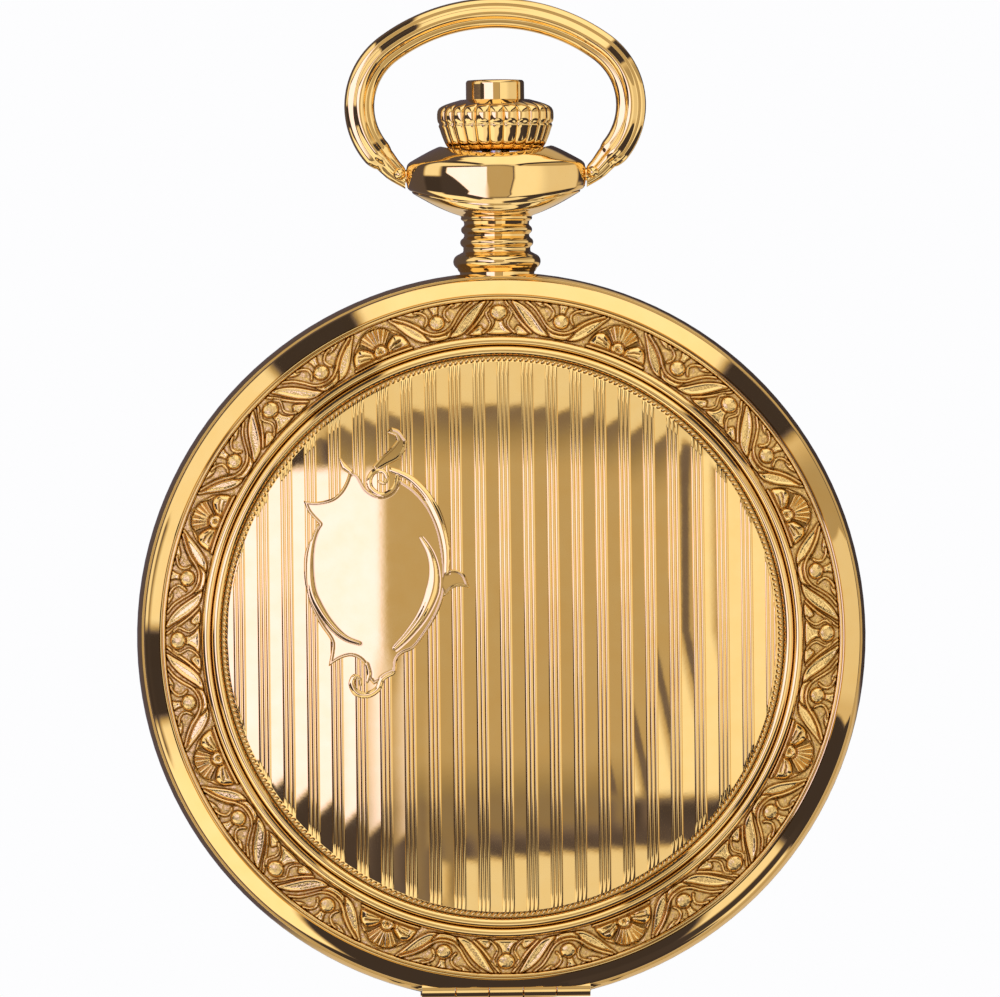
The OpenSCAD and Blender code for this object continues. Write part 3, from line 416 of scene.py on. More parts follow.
bandLeaves = {
    # Outline, level, height of the lip and how matted the middle is.
    "topLens": ([(2.4, 23.1), (2.6, 22.86), (2.95, 22.76), (3.25, 22.88), (3.4, 23.1)], 0.13, 0.02, 0.55),
    "topLensFar": ([(4.98, 23.1), (5.15, 22.88), (5.5, 22.74), (5.95, 22.84), (6.2, 23.1)], 0.13, 0.02, 0.55),
    "leafFalling": ([(0.84, 23.04), (1.5, 22.8), (2.15, 22.3), (2.7, 21.7), (3.2, 21.15), (3.8, 20.8), (3, 20.8),
                     (2.4, 21.02), (1.95, 21.42), (1.5, 21.98), (1.12, 22.55)], 0.19, 0.06, 0.55),
    "leafRising": ([(4.7, 20.8), (4.9, 21.3), (5.35, 21.9), (5.95, 22.42), (6.6, 22.82), (7.32, 23.05), (7, 22.5),
                    (6.62, 21.92), (6.15, 21.32), (5.5, 20.85)], 0.19, 0.06, 0.55),
    "saddle": ([(3.3, 21.4), (3.75, 21.12), (4.26, 21.02), (4.77, 21.12), (5.22, 21.4), (4.98, 20.98),
                (4.72, 20.76), (3.8, 20.76), (3.54, 20.98)], 0.2, 0.03, 0),
    "smallLeaf": ([(0.98, 20.78), (1.14, 21.12), (1.32, 21.36), (1.7, 21.14), (2.15, 20.78)], 0.16, 0.06, 0.55),
    "bellSkirt": ([(-0.4, 21.9), (0.2, 21.84), (0.28, 21.45), (0.5, 21.1), (0.86, 20.78), (-0.9, 20.78),
                   (-0.5, 21.1)], 0.18, 0.05, 0.55),
    "neck": ([(3.98, 23.1), (4.08, 22.72), (4.12, 22.3), (4.4, 22.3), (4.44, 22.72), (4.54, 23.1)],
             0.15, 0.05, 0.4),
}
bandLines = {
    # Raised lines: their points, half width and height.
    "archOverBell": ([(0.45, 22.95), (0.8, 22.5), (1.25, 21.9), (1.7, 21.4), (2.3, 20.9)], 0.085, 0.25),
    "garland": ([(1.8, 23.02), (2.38, 22.62), (2.85, 22.08), (3.28, 21.54), (3.76, 21.24), (4.26, 21.16),
                 (4.76, 21.24), (5.24, 21.54), (5.72, 22.04), (6.3, 22.52), (7, 22.98)], 0.085, 0.28),
    "curl": ([(3.02, 22.98), (3.4, 22.82), (3.66, 22.52), (3.63, 22.18), (3.44, 21.92)], 0.075, 0.23),
    "curlFar": ([(5.5, 22.96), (5.12, 22.8), (4.87, 22.52), (4.89, 22.18), (5.08, 21.92)], 0.075, 0.23),
    "bellEdge": ([(0.62, 22.5), (0.86, 22.16), (0.74, 21.84), (0.6, 21.5), (0.78, 21.14), (1.1, 20.86)],
                 0.06, 0.18),
}
bandBalls = {
    # Middle, half width, half height and level of each stippled ball.
    "bellBall": ((0, 22.22), 0.56, 0.5, 0.28),
    "hangingBall": ((4.26, 21.93), 0.52, 0.48, 0.28),
}
bandFlower = {
    # An arched bed, a fan of ribs and a curled petal with its notches; the ring is their middle.
    "arch": [(6.42, 20.76), (6.52, 21.3), (6.84, 21.86), (7.32, 22.32), (7.78, 22.66), (8.2, 22.84), (8.56, 22.9),
             (9, 22.84)],
    "fan": [(8.16, 21.44), (7.86, 21.86), (7.5, 22.28), (7.72, 22.56), (8.1, 22.72), (8.56, 22.78), (9, 22.7),
            (9, 21.44)],
    "petal": [(6.56, 20.84), (6.62, 21.4), (6.9, 21.78), (7.32, 21.9), (7.7, 21.68), (8, 21.34), (8.04, 20.84)],
    "notches": ([(7, 21.5), (7.42, 21.4), (7.8, 21.2)], [(7, 21.14), (7.42, 21.1), (7.8, 21.02)]),
    "ribPitch": 0.25, "middle": 8.56,
}


def bandMotif():
    # Half of one repeat of the border, in mm: u round the band from the bell to the flower, r outwards.
    s, flower = bandSizes, bandFlower
    radii = np.linspace(s["inner"], s["outer"], s["across"])
    u, r = np.meshgrid((np.arange(s["halfMotif"]) + 0.5) / s["halfMotif"] * s["length"], radii, indexing="ij")
    height = 0.02 + 0.02 * np.sin(u * 9) * np.sin(r * 8)
    # The painted shade starts low over the whole ground, so it is a little deeper gold than the raised shapes.
    matted, painted_shade = np.ones_like(u), np.full_like(u, 0.2)

    def lay(d, body, mat, moat=0.2):
        # Lays a shape over what is there, with a sunk line round it that is also painted dark as painted shade.
        nonlocal height, matted, painted_shade
        over = ramp(-d, -0.04, 0.035)
        near = (1 - ramp(d, 0.02, moat)) * (1 - over)
        height = height * (1 - 0.85 * near) * (1 - over) + body * over
        painted_shade = np.maximum(painted_shade, near) * (1 - over)
        matted = matted * (1 - over) + mat * over

    for outline, level, lip, mat in bandLeaves.values():
        d = areaDistance(u, r, curvePoints(outline, 4, True))
        lay(d, level + lip * ridge(np.abs(-d - 0.09), 0.09), mat * ramp(-d, 0.1, 0.2))
    for points, half, level in bandLines.values():
        d = lineDistance(u, r, curvePoints(points, 5))
        lay(d - half, level * (0.5 + 0.5 * np.clip(1 - (d / half) ** 2, 0, 1)), 0, 0.15)
    for (cu, cr), wide, high, level in bandBalls.values():
        q = np.hypot((u - cu) / wide, (r - cr) / high)
        lay((q - 1) * min(wide, high), level * (0.45 + 0.55 * ridge(q, 1)), ramp(1 - q, 0.05, 0.3), 0.16)
    bed = areaDistance(u, r, [*curvePoints(flower["arch"], 4), (9, 20.7), (6.42, 20.7)])
    lay(bed, 0.04 + 0.13 * ridge(np.abs(-bed - 0.07), 0.07), 0.2, 0.16)
    # Painted shade fills the bed inside its raised lip.
    painted_shade = np.maximum(painted_shade, 0.75 * ramp(-bed, 0.12, 0.2))
    fan = areaDistance(u, r, flower["fan"])
    rib = 0.5 + 0.5 * np.cos(np.arctan2(u - flower["middle"], r - 21.15) * 2 * math.pi / flower["ribPitch"])
    lay(fan, 0.13 + 0.15 * rib, 0.1 * (1 - rib))
    # Painted shade in the gaps between the fan's ribs.
    painted_shade = np.maximum(painted_shade, 0.7 * ramp(-fan, 0, 0.08) * (1 - rib) ** 2)
    petal = areaDistance(u, r, curvePoints(flower["petal"], 4, True))
    lay(petal, 0.15 + 0.12 * ramp(-petal, 0, 0.3), 0)
    for notch in flower["notches"]:
        d = lineDistance(u, r, notch)
        # Each notch is cut in, and painted dark as painted shade.
        height = height - 0.09 * (1 - ramp(d, 0, 0.09))
        painted_shade = np.maximum(painted_shade, 0.8 * (1 - ramp(d, 0.02, 0.09)))
    q = np.hypot(u - flower["middle"], r - 21.16)
    lay(q - 0.46, 0.16 + 0.12 * ridge(np.abs(q - 0.3), 0.16), 0, 0.16)
    # Painted shade at the flower's very middle.
    painted_shade = np.maximum(painted_shade, 0.8 * (1 - ramp(q, 0.08, 0.16)))
    lay(lineDistance(u, r, [(6.4, 20.72), (8.7, 20.72)]) - 0.1, 0.22, 0)
    # The band's inner and outer edges slope down and are painted dark there as painted shade.
    edge = np.minimum(ramp(r, 20.6, 20.7), 1 - ramp(r, 23, 23.06))
    return radii, height * edge, np.clip(matted, 0, 1), np.clip(np.maximum(painted_shade, 0.8 * (1 - edge)), 0, 1)


motif = bandMotif()


def coverBand(rim, side):
    radii, *layers = motif
    height, matted, painted_shade = (np.tile(np.concatenate([q, q[::-1]]), (bandSizes["repeats"], 1)) for q in layers)
    columns = len(height)
    a = (np.arange(columns) + 0.5) / columns * 2 * math.pi
    base = bandLevel(rim) - 0.06 + (23.1 - radii) / 2.55 * 0.42
    f = base + (height - 0.1) * bandSizes["relief"]
    back = np.tile(np.array([base[-1], (base[0] + base[-1]) / 2, base[0]]) - 0.3, (columns, 1))
    r = [*radii, 23.06, 21.8, 20.6]
    points = np.stack([np.outer(np.sin(a), r), np.hstack([f, back]) * side, np.outer(np.cos(a), r)], axis=-1)
    # The back rows are plain: no matting, and half painted shade.
    plain = np.zeros((columns, 3))
    return points, np.hstack([matted, plain]), np.hstack([painted_shade, plain + 0.5])


def reedHeight(x):
    s = reedSizes
    p = (x - s["shift"]) / s["pitch"]
    p = (p - np.round(p)) * s["pitch"]
    ribs = 0.3 + 0.7 * np.maximum.reduce([ridge(p - c, s["ribHalf"]) for c in s["ribs"]])
    half = s["pitch"] / 2
    plain = 0.028 * np.clip((half - np.abs(p)) / (half - s["group"]), 0, 1) ** 2
    return s["height"] * np.where(np.abs(p) < s["group"], ribs, plain)


def reedColumns(radius):
    s = reedSizes
    marks = [c + s["ribHalf"] * k for c in s["ribs"] for k in (-1, -0.92, -0.7, -0.35, 0, 0.35, 0.7, 0.92, 1)]
    marks += [-s["group"], -s["group"] - 0.015, s["group"], s["group"] + 0.015]
    marks += [0.5, 0.6, 0.72, 0.8275, -0.5, -0.6, -0.72]
    count = int(radius / s["pitch"]) + 2
    columns = sorted(k * s["pitch"] + s["shift"] + m for k in range(-count, count + 1) for m in marks)
    return np.array([-radius] + [c for c in columns if -radius + 0.004 < c < radius - 0.004] + [radius])


def reedField(rim, side):
    radius = coverSizes["fieldR"] - 0.02
    x = reedColumns(radius)
    z = np.outer(np.sqrt(np.clip(radius ** 2 - x ** 2, 0, None)), np.linspace(-1, 1, reedSizes["rows"]))
    x = np.broadcast_to(x[:, None], z.shape)
    r = np.hypot(x, z)
    drop = coverSizes["backDrop"] if side < 0 else 0
    f = domeHeight(r, rim) - drop + reedHeight(x) * (1 - ramp(r, radius - 0.12, radius - 0.02))
    top = np.stack([x, f * side, z], axis=-1)
    # The underside: rings drawn in from the same edge, closed at the middle.
    rings = [np.concatenate([top[:, 0], top[::-1, -1]])]
    for k in (0.93, 0.75, 0.5, 0.25, 0):
        ring = rings[0] * (k, 1, k)
        ring[:, 1] = side * (domeHeight(np.hypot(ring[:, 0], ring[:, 2]), rim) - reedSizes["under"])
        rings.append(ring)
    return (top, False, False), (np.stack(rings, axis=1), True, False)


def attributeOn(mesh, name, values):
    layer = mesh.attributes.new(name, "FLOAT", "POINT")
    layer.data.foreach_set("value", np.asarray(values, np.float32).ravel())


def makeCover(body, rim, side):
    s = coverSizes
    shell = gridMesh(body + "_shell", 30, *coverShell(rim, side))
    where = np.array([v.co for v in shell.vertices]) / mm
    radius = np.hypot(where[:, 0], where[:, 2] + hangZ)
    # Painted shade: dark lines along the steps of the turning, on the cover's outer face only.
    groove = sum(np.abs(radius - q) < s["grooveHalf"] for q in s["grooves"])
    attributeOn(shell, "painted_shade", 0.8 * groove * (np.abs(where[:, 1]) > s["half"] + 0.6))
    placeGold(shell, body, body)
    points, matted, painted_shade = coverBand(rim, side)
    band = gridMesh(body + "_border", 180, (points, True, True))
    attributeOn(band, "matted", matted)
    attributeOn(band, "painted_shade", painted_shade)
    placeGold(band, body, material=goldBorder)
    field = gridMesh(body + "_reeding", 30, *reedField(rim, side))
    placeGold(field, body)
    print(body, "built:", len(shell.polygons), len(band.polygons), len(field.polygons), "faces")


for name, (rim, side) in covers.items():
    makeCover(name, rim, side)


def growTree(name, inputs, build):
    # A Geometry Nodes tree with a socket for each size; build adds what is its own.
    tree = bpy.data.node_groups.new(name, "GeometryNodeTree")
    add = partial(addNode, tree)
    kinds = {"Geometry": "Geometry", "Count": "Int", "Centre": "Vector", "Finish": "Material"}
    for item in ("Geometry", *inputs, "Finish"):
        tree.interface.new_socket(item, in_out="INPUT", socket_type="NodeSocket" + kinds.get(item, "Float"))
    tree.interface.new_socket("Geometry", in_out="OUTPUT", socket_type="NodeSocketGeometry")
    given = tree.nodes.new("NodeGroupInput").outputs
    real = add("GeometryNodeRealizeInstances", {0: build(add, given)})
    dressed = add("GeometryNodeSetMaterial", {"Geometry": real[0], "Material": given["Finish"]})
    add("NodeGroupOutput", {0: dressed[0]})
    return tree


def grow(name, tree, values, spots=()):
    # Runs a tree on a mesh of loose points and returns what it makes as a plain mesh.
    seed = bpy.data.meshes.new(name + "_seed")
    seed.from_pydata([tuple(q) for q in spots], [], [])
    holder = bpy.data.objects.new(name + "_grower", seed)
    bpy.context.scene.collection.objects.link(holder)
    modifier = holder.modifiers.new("grow", "NODES")
    modifier.node_group = tree
    for item in tree.interface.items_tree:
        if item.in_out == "INPUT" and item.name in values:
            modifier[item.identifier] = values[item.name]
    bpy.context.view_layer.update()
    mesh = bpy.data.meshes.new_from_object(holder.evaluated_get(bpy.context.evaluated_depsgraph_get()))
    mesh.name = name
    holder.modifiers.remove(modifier)
    bpy.data.objects.remove(holder)
    return mesh


def ringSpots(add, given):
    # Points spread evenly round a ring, with the turn of each.
    points = add("GeometryNodePoints", {"Count": given["Count"]})
    index = add("GeometryNodeInputIndex")
    share = add("ShaderNodeMath", {0: index[0], 1: given["Count"]}, operation="DIVIDE")
    turn = add("ShaderNodeMath", {0: share[0], 1: 2 * math.pi}, operation="MULTIPLY")[0]
    facing = add("ShaderNodeCombineXYZ", {"Y": turn})[0]
    reach = add("ShaderNodeCombineXYZ", {"Z": given["Ring Radius"]})
    spot = add("ShaderNodeVectorRotate", {"Vector": reach[0], "Rotation": facing}, rotation_type="EULER_XYZ")
    moved = add("ShaderNodeVectorMath", {0: spot[0], 1: given["Centre"]}, operation="ADD")
    placed = add("GeometryNodeSetPosition", {"Geometry": points[0], "Position": moved[0]})
    return placed[0], turn, facing


def pearlRing(add, given):
    # Small egg-shaped pearls, each turned a little off the ring's radius.
    spots, turn, _ = ringSpots(add, given)
    lean = add("ShaderNodeMath", {0: turn, 1: given["Slant"]}, operation="ADD")
    slanted = add("ShaderNodeCombineXYZ", {"Y": lean[0]})
    size = add("ShaderNodeCombineXYZ", {"X": 0.82, "Y": 0.8, "Z": given["Stretch"]})
    pearl = add("GeometryNodeMeshUVSphere", {"Segments": 8, "Rings": 6, "Radius": given["Pearl Radius"]})
    smooth = add("GeometryNodeSetShadeSmooth", {"Geometry": pearl["Mesh"]})
    return add("GeometryNodeInstanceOnPoints", {
        "Points": spots, "Instance": smooth[0], "Rotation": slanted[0], "Scale": size[0]})[0]


pearls = growTree("ringOfPearls", ("Count", "Ring Radius", "Pearl Radius", "Stretch", "Slant", "Centre"), pearlRing)
for body, (rim, side) in covers.items():
    s = ropeSizes
    mesh = grow(body + "_milgrain", pearls, {
        "Count": s["pearls"], "Ring Radius": s["ringR"] * mm, "Pearl Radius": s["pearlR"] * mm,
        "Stretch": s["stretch"], "Slant": s["slant"], "Finish": gold,
        "Centre": (0.0, -side * (bandLevel(rim) + s["rise"]) * mm, -hangZ * mm)})
    placeGold(mesh, body)
print("milgrain rings grown")


shieldSizes = {"step": 0.04, "plate": 0.13, "bead": 0.2, "edge": 0.022, "sunk": -0.22, "tip": 48,
               "box": (-14.2, -1.6, -4.7, 14.9)}
# Outlines in mm: the plate, the leaf over it and the hook beside it.
shieldPlate = [
    (-13.48, 9.43), (-12.59, 9.36), (-11.63, 9.57), (-11.01, 10.05), (-10.6, 10.73), (-10.35, 11.46),
    (-9.84, 11.21), (-9.54, 10.71), (-9.22, 10.19), (-8.61, 9.8), (-7.92, 9.8), (-7.37, 10.19), (-6.96, 10.87),
    (-5.86, 10.05), (-4.97, 8.95), (-4.4, 7.72), (-4.1, 6.48), (-3.9, 4.7), (-3.98, 3.1), (-4.55, 1.55),
    (-5.5, 0.05), (-6.15, -0.72), (-6.9, -1.05), (-7.29, -1.51), (-7.38, -2.28), (-8.15, -2.7), (-8.88, -3.12),
    (-9.2, -2.7), (-9.31, -2.19), (-9.69, -1.51), (-10.37, -1.17), (-11.14, -1.34), (-11.91, -1.82),
    (-11.7, -0.57), (-11.82, 0.03), (-12.5, 1.05), (-13.15, 2.43), (-13.5, 4.2), (-13.44, 5.93), (-12.93, 7.03),
    (-12.45, 7.85), (-13.18, 8.68)]
shieldLeaf = [
    (-8.75, 11.75), (-8.15, 12.42), (-7.46, 13.02), (-7.07, 13.5), (-7.2, 13.86), (-7.81, 14.08), (-7.43, 14.37),
    (-6.92, 14.16), (-6.44, 13.53), (-6.57, 12.85), (-7.04, 12.25), (-7.81, 11.85), (-8.49, 11.45)]
shieldHook = [(-4.1, 4.5), (-3.27, 4.64), (-2.65, 4.3), (-2.3, 3.41), (-2.93, 3.52), (-3.45, 3.36), (-3.96, 2.85),
              (-4.3, 3.6)]
# Each scroll: its line in mm and its half width at the start, middle and end.
shieldScrolls = {
    "rightArc": ([(-7.5, 11.5), (-6.28, 10.94), (-5.2, 9.85), (-4.48, 8.54), (-4.05, 7.3), (-3.82, 5.93),
                  (-3.84, 4.5)], (0.18, 0.3, 0.18)),
    "rightCrescent": ([(-5.55, 6.85), (-4.95, 5.8), (-4.69, 4.56), (-4.84, 3.19), (-5.52, 1.61), (-6.55, 0.24),
                       (-7.45, -0.66)], (0.08, 0.4, 0.12)),
    "leftCrescent": ([(-12.55, 7.75), (-13, 6.48), (-13.16, 4.84), (-13.02, 3.19), (-12.42, 1.89), (-11.6, 0.79),
                      (-10.75, 0.06), (-9.81, -0.3)], (0.08, 0.3, 0.1)),
    "topScroll": ([(-7.12, 11.14), (-7.3, 10.4), (-7.75, 9.95), (-8.35, 9.84), (-8.93, 10.3), (-9, 10.95),
                   (-8.65, 11.42), (-8.1, 11.42), (-7.82, 11), (-8, 10.62), (-8.35, 10.72)], (0.12, 0.17, 0.09)),
    "bottomScroll": ([(-7.6, -2.35), (-8.3, -2.75), (-8.62, -3.45), (-9.32, -3.85), (-10.05, -3.7), (-10.38, -3.1),
                      (-10.2, -2.6), (-9.85, -2.75), (-9.8, -3.15)], (0.15, 0.22, 0.08)),
    "bottomCurl": ([(-9.35, -1.75), (-9.2, -2.4), (-9.35, -2.95)], (0.14, 0.14, 0.08)),
    "upperHook": ([(-10.28, 11.42), (-10.69, 11.75), (-10.99, 12.3)], (0.15, 0.18, 0.05)),
}


def strokeShare(u, v, points, widths):
    # Distance to a line over the line's half width there (0 on the line, 1 at its edge), the distance
    # to its edge, and that half width.
    line = curvePoints(points, 6)
    half = np.interp(np.linspace(0, 1, len(line)), [0, 0.5, 1], widths)
    share, away, wide = np.full(u.shape, 1e9), np.full(u.shape, 1e9), np.zeros(u.shape)
    for k in range(len(line) - 1):
        d, t = stepDistance(u, v, line[k], line[k + 1])
        w = half[k] + (half[k + 1] - half[k]) * t
        wide = np.where(d / w < share, w, wide)
        share = np.minimum(share, d / w)
        away = np.minimum(away, d - w)
    return share, away, wide


def roundCorners(outline):
    # Curves through the points, but leaves the sharp tips.
    p = np.array(outline, float)
    n = len(p)
    step = [math.atan2(*(p[(i + 1) % n] - p[i])[::-1]) for i in range(n)]
    sharp = [abs(math.degrees(math.remainder(step[i] - step[i - 1], 2 * math.pi))) > shieldSizes["tip"]
             for i in range(n)]
    out = []
    for i in range(n):
        j = (i + 1) % n
        before = p[i] * 2 - p[j] if sharp[i] else p[i - 1]
        after = p[j] * 2 - p[i] if sharp[j] else p[(j + 1) % n]
        out += [between(before, p[i], p[j], after, t) for t in (0, 0.25, 0.5, 0.75)]
    return out


def makeShield():
    s = shieldSizes
    left, right, low, high = s["box"]
    nx, nz = int((right - left) / s["step"]) + 1, int((high - low) / s["step"]) + 1
    x, z = np.meshgrid(np.linspace(left, right, nx), np.linspace(low, high, nz), indexing="ij")
    area = np.minimum.reduce([areaDistance(x, z, roundCorners(q)) for q in (shieldPlate, shieldLeaf, shieldHook)])
    deep = s["plate"] - s["sunk"]
    height = s["sunk"] + deep * ramp(-area, -0.1, 0) + s["edge"] * ridge(np.abs(area + 0.08), 0.08)
    # Painted shade: a soft brown line just inside each outline and along its edge, and beside each scroll a brown
    # shadow painted to its lower right, as if lit from the upper left.
    painted_shade = 0.7 * (1 - ramp(np.abs(area + 0.15), 0, 0.1)) + 0.5 * (1 - ramp(np.abs(area), 0, 0.05))
    for points, widths in shieldScrolls.values():
        share, away, wide = strokeShare(x, z, points, widths)
        # The scroll's outline moved to the lower right, where its painted shadow falls.
        shaded = strokeShare(x - 0.06, z + 0.06, points, widths)[1]
        # groove is both a shallow real groove beside the scroll and the painted shade and shadow round it.
        groove = (0.4 * (1 - ramp(away, 0, 0.1)) + 0.45 * (1 - ramp(shaded, 0, 0.09))) * ramp(away, -0.03, 0)
        inside = ramp(-away, 0, 0.03)
        bead = s["plate"] + s["bead"] * wide * 0.5 * (1 + np.cos(math.pi * np.clip(share, 0, 1)))
        height = np.maximum(height - 0.012 * groove * (area < 0), s["sunk"] + deep * ramp(-away, -0.1, 0))
        height = height * (1 - inside) + bead * inside
        painted_shade = np.maximum(painted_shade * (1 - inside), groove)
    keep = height > s["sunk"] + 0.01
    i, j = np.nonzero(keep[:-1, :-1] | keep[1:, :-1] | keep[:-1, 1:] | keep[1:, 1:])
    corner = np.stack([i * nz + j, (i + 1) * nz + j, (i + 1) * nz + j + 1, i * nz + j + 1], axis=-1)
    used, inverse = np.unique(corner, return_inverse=True)
    top = np.stack([x, domeHeight(np.hypot(x, z), covers["front_cover"][0]) + height, z], axis=-1).reshape(-1, 3)
    mesh = bpy.data.meshes.new("front_cover_shield")
    mesh.from_pydata(inRow(top)[used], [], inverse.reshape(corner.shape).tolist())
    attributeOn(mesh, "painted_shade", 0.85 * painted_shade.reshape(-1)[used])
    # The wall goes straight back from the edge, and plain triangles close the back.
    bm = bmesh.new()
    bm.from_mesh(mesh)
    wall = bmesh.ops.extrude_edge_only(bm, edges=[e for e in bm.edges if e.is_boundary])["geom"]
    bmesh.ops.translate(bm, vec=(0, 0.1 * mm, 0), verts=[g for g in wall if isinstance(g, bmesh.types.BMVert)])
    bmesh.ops.triangle_fill(bm, use_beauty=False, use_dissolve=False,
                            edges=[g for g in wall if isinstance(g, bmesh.types.BMEdge)])
    bm.to_mesh(mesh)
    bm.free()
    placeGold(tidyMesh(mesh, 50), "front_cover")
    print("shield built:", len(mesh.polygons), "faces")


makeShield()


pendantSizes = {"segments": 160, "flatten": 0.25, "bulge": 0.95, "tipR": 6.19, "earZ": 31.67, "bellyR": 3.0}
crownSizes = {"lobes": 24, "base": 33.33, "around": 480}
buttonSizes = {"r": 2.0, "foot": 35.87, "top": 38.24, "segments": 96}
bowSizes = {"a": 9.33, "b": 6.35, "z": 36.45, "side": 4.9, "end": -50.0, "turns": 48, "wire": 1.03, "pinR": 0.45,
            "inside": 6.24}


def makePendant():
    s = pendantSizes
    profile = [(1.45, 24.05), (2.46, 24.05), (2.52, 24.1), (2.56, 25), (2.66, 25.12)]
    profile += arc(2.48, 25.74, 0.52, -60, 60, 12) + [(2.34, 26.4), (2.3, 26.5), (2.3, 26.7)]
    profile += arc(2.18, 27.05, 0.33, -62, 62, 8) + [(2.24, 27.46), (2.24, 27.6)]
    profile += arc(2.14, 27.92, 0.3, -62, 62, 8) + [(2.22, 28.3), (2.26, 28.5), (2.42, 28.62), (2.45, 28.72)]
    profile += [(2.42, 28.82)]
    profile += [*curvePoints([(2.5, 28.9), (3.2, 29.15), (4.2, 29.6), (5.2, 30.15), (5.72, 30.46)], 4)]
    profile += [(5.78, 30.53), (5.75, 30.58), (5.8, 30.62), (5.93, 30.68), (6.03, 30.77), (6.1, 30.88)]
    profile += [(s["tipR"] - s["bellyR"] + math.sqrt(s["bellyR"] ** 2 - (h - s["earZ"]) ** 2), h)
                for h in np.linspace(31, 32.3, 12)]
    profile += [(6.09, 32.42), (6, 32.54), (5.86, 32.65)]
    profile += [*curvePoints([(5.6, 32.8), (5, 33.13), (4.4, 33.44), (3.95, 33.64)], 4)]
    profile += [(3.8, 33.67), (3.74, 33.6), (3.72, 33.2), (3.45, 33.1), (3.45, 32.63), (1.45, 32.63)]
    x, z, f = np.moveaxis(lathe(profile, s["segments"]), -1, 0)
    radius = np.hypot(x, f)
    # The head is a little flatter than wide, and its front hangs in a soft belly.
    belly = s["bulge"] * ramp(radius, 2.6, 5.7) * (1 - ramp(z, 30.5, 32.2)) * ramp(z, 28.8, 29)
    drop = (f / np.maximum(radius, 1e-6)) ** 2 * (0.5 * ramp(z, 32.5, 33.55) + belly)
    flat = 1 - s["flatten"] * ramp(radius, 3.8, s["tipR"]) * ramp(z, 28.9, 29.6)
    mesh = gridMesh("pendant_turned", 34, (np.stack([x, f * flat, z - drop], axis=-1), True, True))
    placeGold(mesh, "case", "pendant")


def makeCrown():
    s = crownSizes
    # Each ring: radius at the lobes' tops, height over the base, and how deep the valleys are there.
    rings = [(0.96, 0, 0), (1.8, 0, 0), (2.6, 0, 0), (2.95, 0.02, 0.05), (3.14, 0.1, 0.12), (3.3, 0.27, 0.16),
             (3.45, 0.5, 0.18), (3.6, 0.85, 0.19), (3.73, 1.2, 0.19), (3.82, 1.5, 0.18), (3.9, 1.7, 0.18),
             (3.9, 1.78, 0.17), (3.86, 1.84, 0.15), (3.87, 1.9, 0.15), (3.93, 1.97, 0.18), (3.97, 2.07, 0.22),
             (4, 2.25, 0.26), (4, 2.55, 0.27), (3.97, 2.76, 0.26), (3.88, 2.94, 0.22), (3.7, 3.08, 0.17),
             (3.45, 3.2, 0.11), (3.1, 3.32, 0.05), (2.75, 3.42, 0.01), (2.4, 3.52, 0), (2.2, 3.54, 0),
             (2.06, 3.52, 0), (2.03, 3.46, 0), (2.03, 0.8, 0), (0.97, 0.8, 0)]
    radius, height, valley = np.array(rings, float).T
    a = np.arange(s["around"]) / s["around"] * 2 * math.pi
    lobe = 1 - np.abs(np.cos(a * s["lobes"] / 2)) ** 0.5
    r = radius - np.outer(lobe, valley)
    h = np.broadcast_to(height + s["base"], r.shape)
    points = np.stack([r * np.sin(a)[:, None], r * np.cos(a)[:, None], h], axis=-1)
    placeGold(gridMesh("crown_fluted", 40, (points, True, True)), "crown", "crown")


def makeButton():
    r, foot, top = buttonSizes["r"], buttonSizes["foot"], buttonSizes["top"]
    profile = [(0, foot), (r - 0.05, foot), (r, foot + 0.05)] + [(r, 36.9 + 0.2 * k) for k in range(6)]
    profile += arc(r - 0.22, top - 0.26, 0.22, 0, 70, 6) + [(1.5, top - 0.03), (1, top - 0.01), (0, top)]
    points = lathe(profile, buttonSizes["segments"])[..., [0, 2, 1]]
    placeGold(gridMesh("button_turned", 34, (points, True, False)), "button", "push_piece")


def wireSection():
    # Three ridges side by side on each face of the bow's wire, in (across, forward).
    lobes = [(0, 0.47, 0.44), (0, -0.47, 0.44), (0.6, 0.24, 0.42), (-0.6, 0.24, 0.42), (0.6, -0.24, 0.42),
             (-0.6, -0.24, 0.42), (0.63, 0, 0.4), (-0.63, 0, 0.4), (0, 0, 0.7)]
    out = []
    for t in np.linspace(0, 2 * math.pi, bowSizes["turns"], endpoint=False):
        dx, dy = math.cos(t), math.sin(t)
        best = 0.0
        for cx, cy, r in lobes:
            b = dx * cx + dy * cy
            d = b * b - cx * cx - cy * cy + r * r
            if d >= 0:
                best = max(best, b + math.sqrt(d))
        out.append((best * dx, best * dy))
    return out


def bowLine():
    # The middle of the wire: a foot beside each ear, two round sides and a flatter top.
    s, e = bowSizes, pendantSizes["earZ"]
    sideX = s["a"] - s["side"]
    topR = (sideX ** 2 + s["b"] ** 2 - s["side"] ** 2) / (2 * (s["b"] - s["side"]))
    join = math.degrees(math.atan2(topR - s["b"], sideX))
    right = [(6, e - 0.3), (6.5, e), (7.05, e + 0.42)] + arc(sideX, s["z"], s["side"], s["end"], join, 34)
    top = arc(0, s["z"] + s["b"] - topR, topR, join, 180 - join, 40)[1:-1]
    return curvePoints(right + top + [(-x, z) for x, z in right[::-1]], 2)


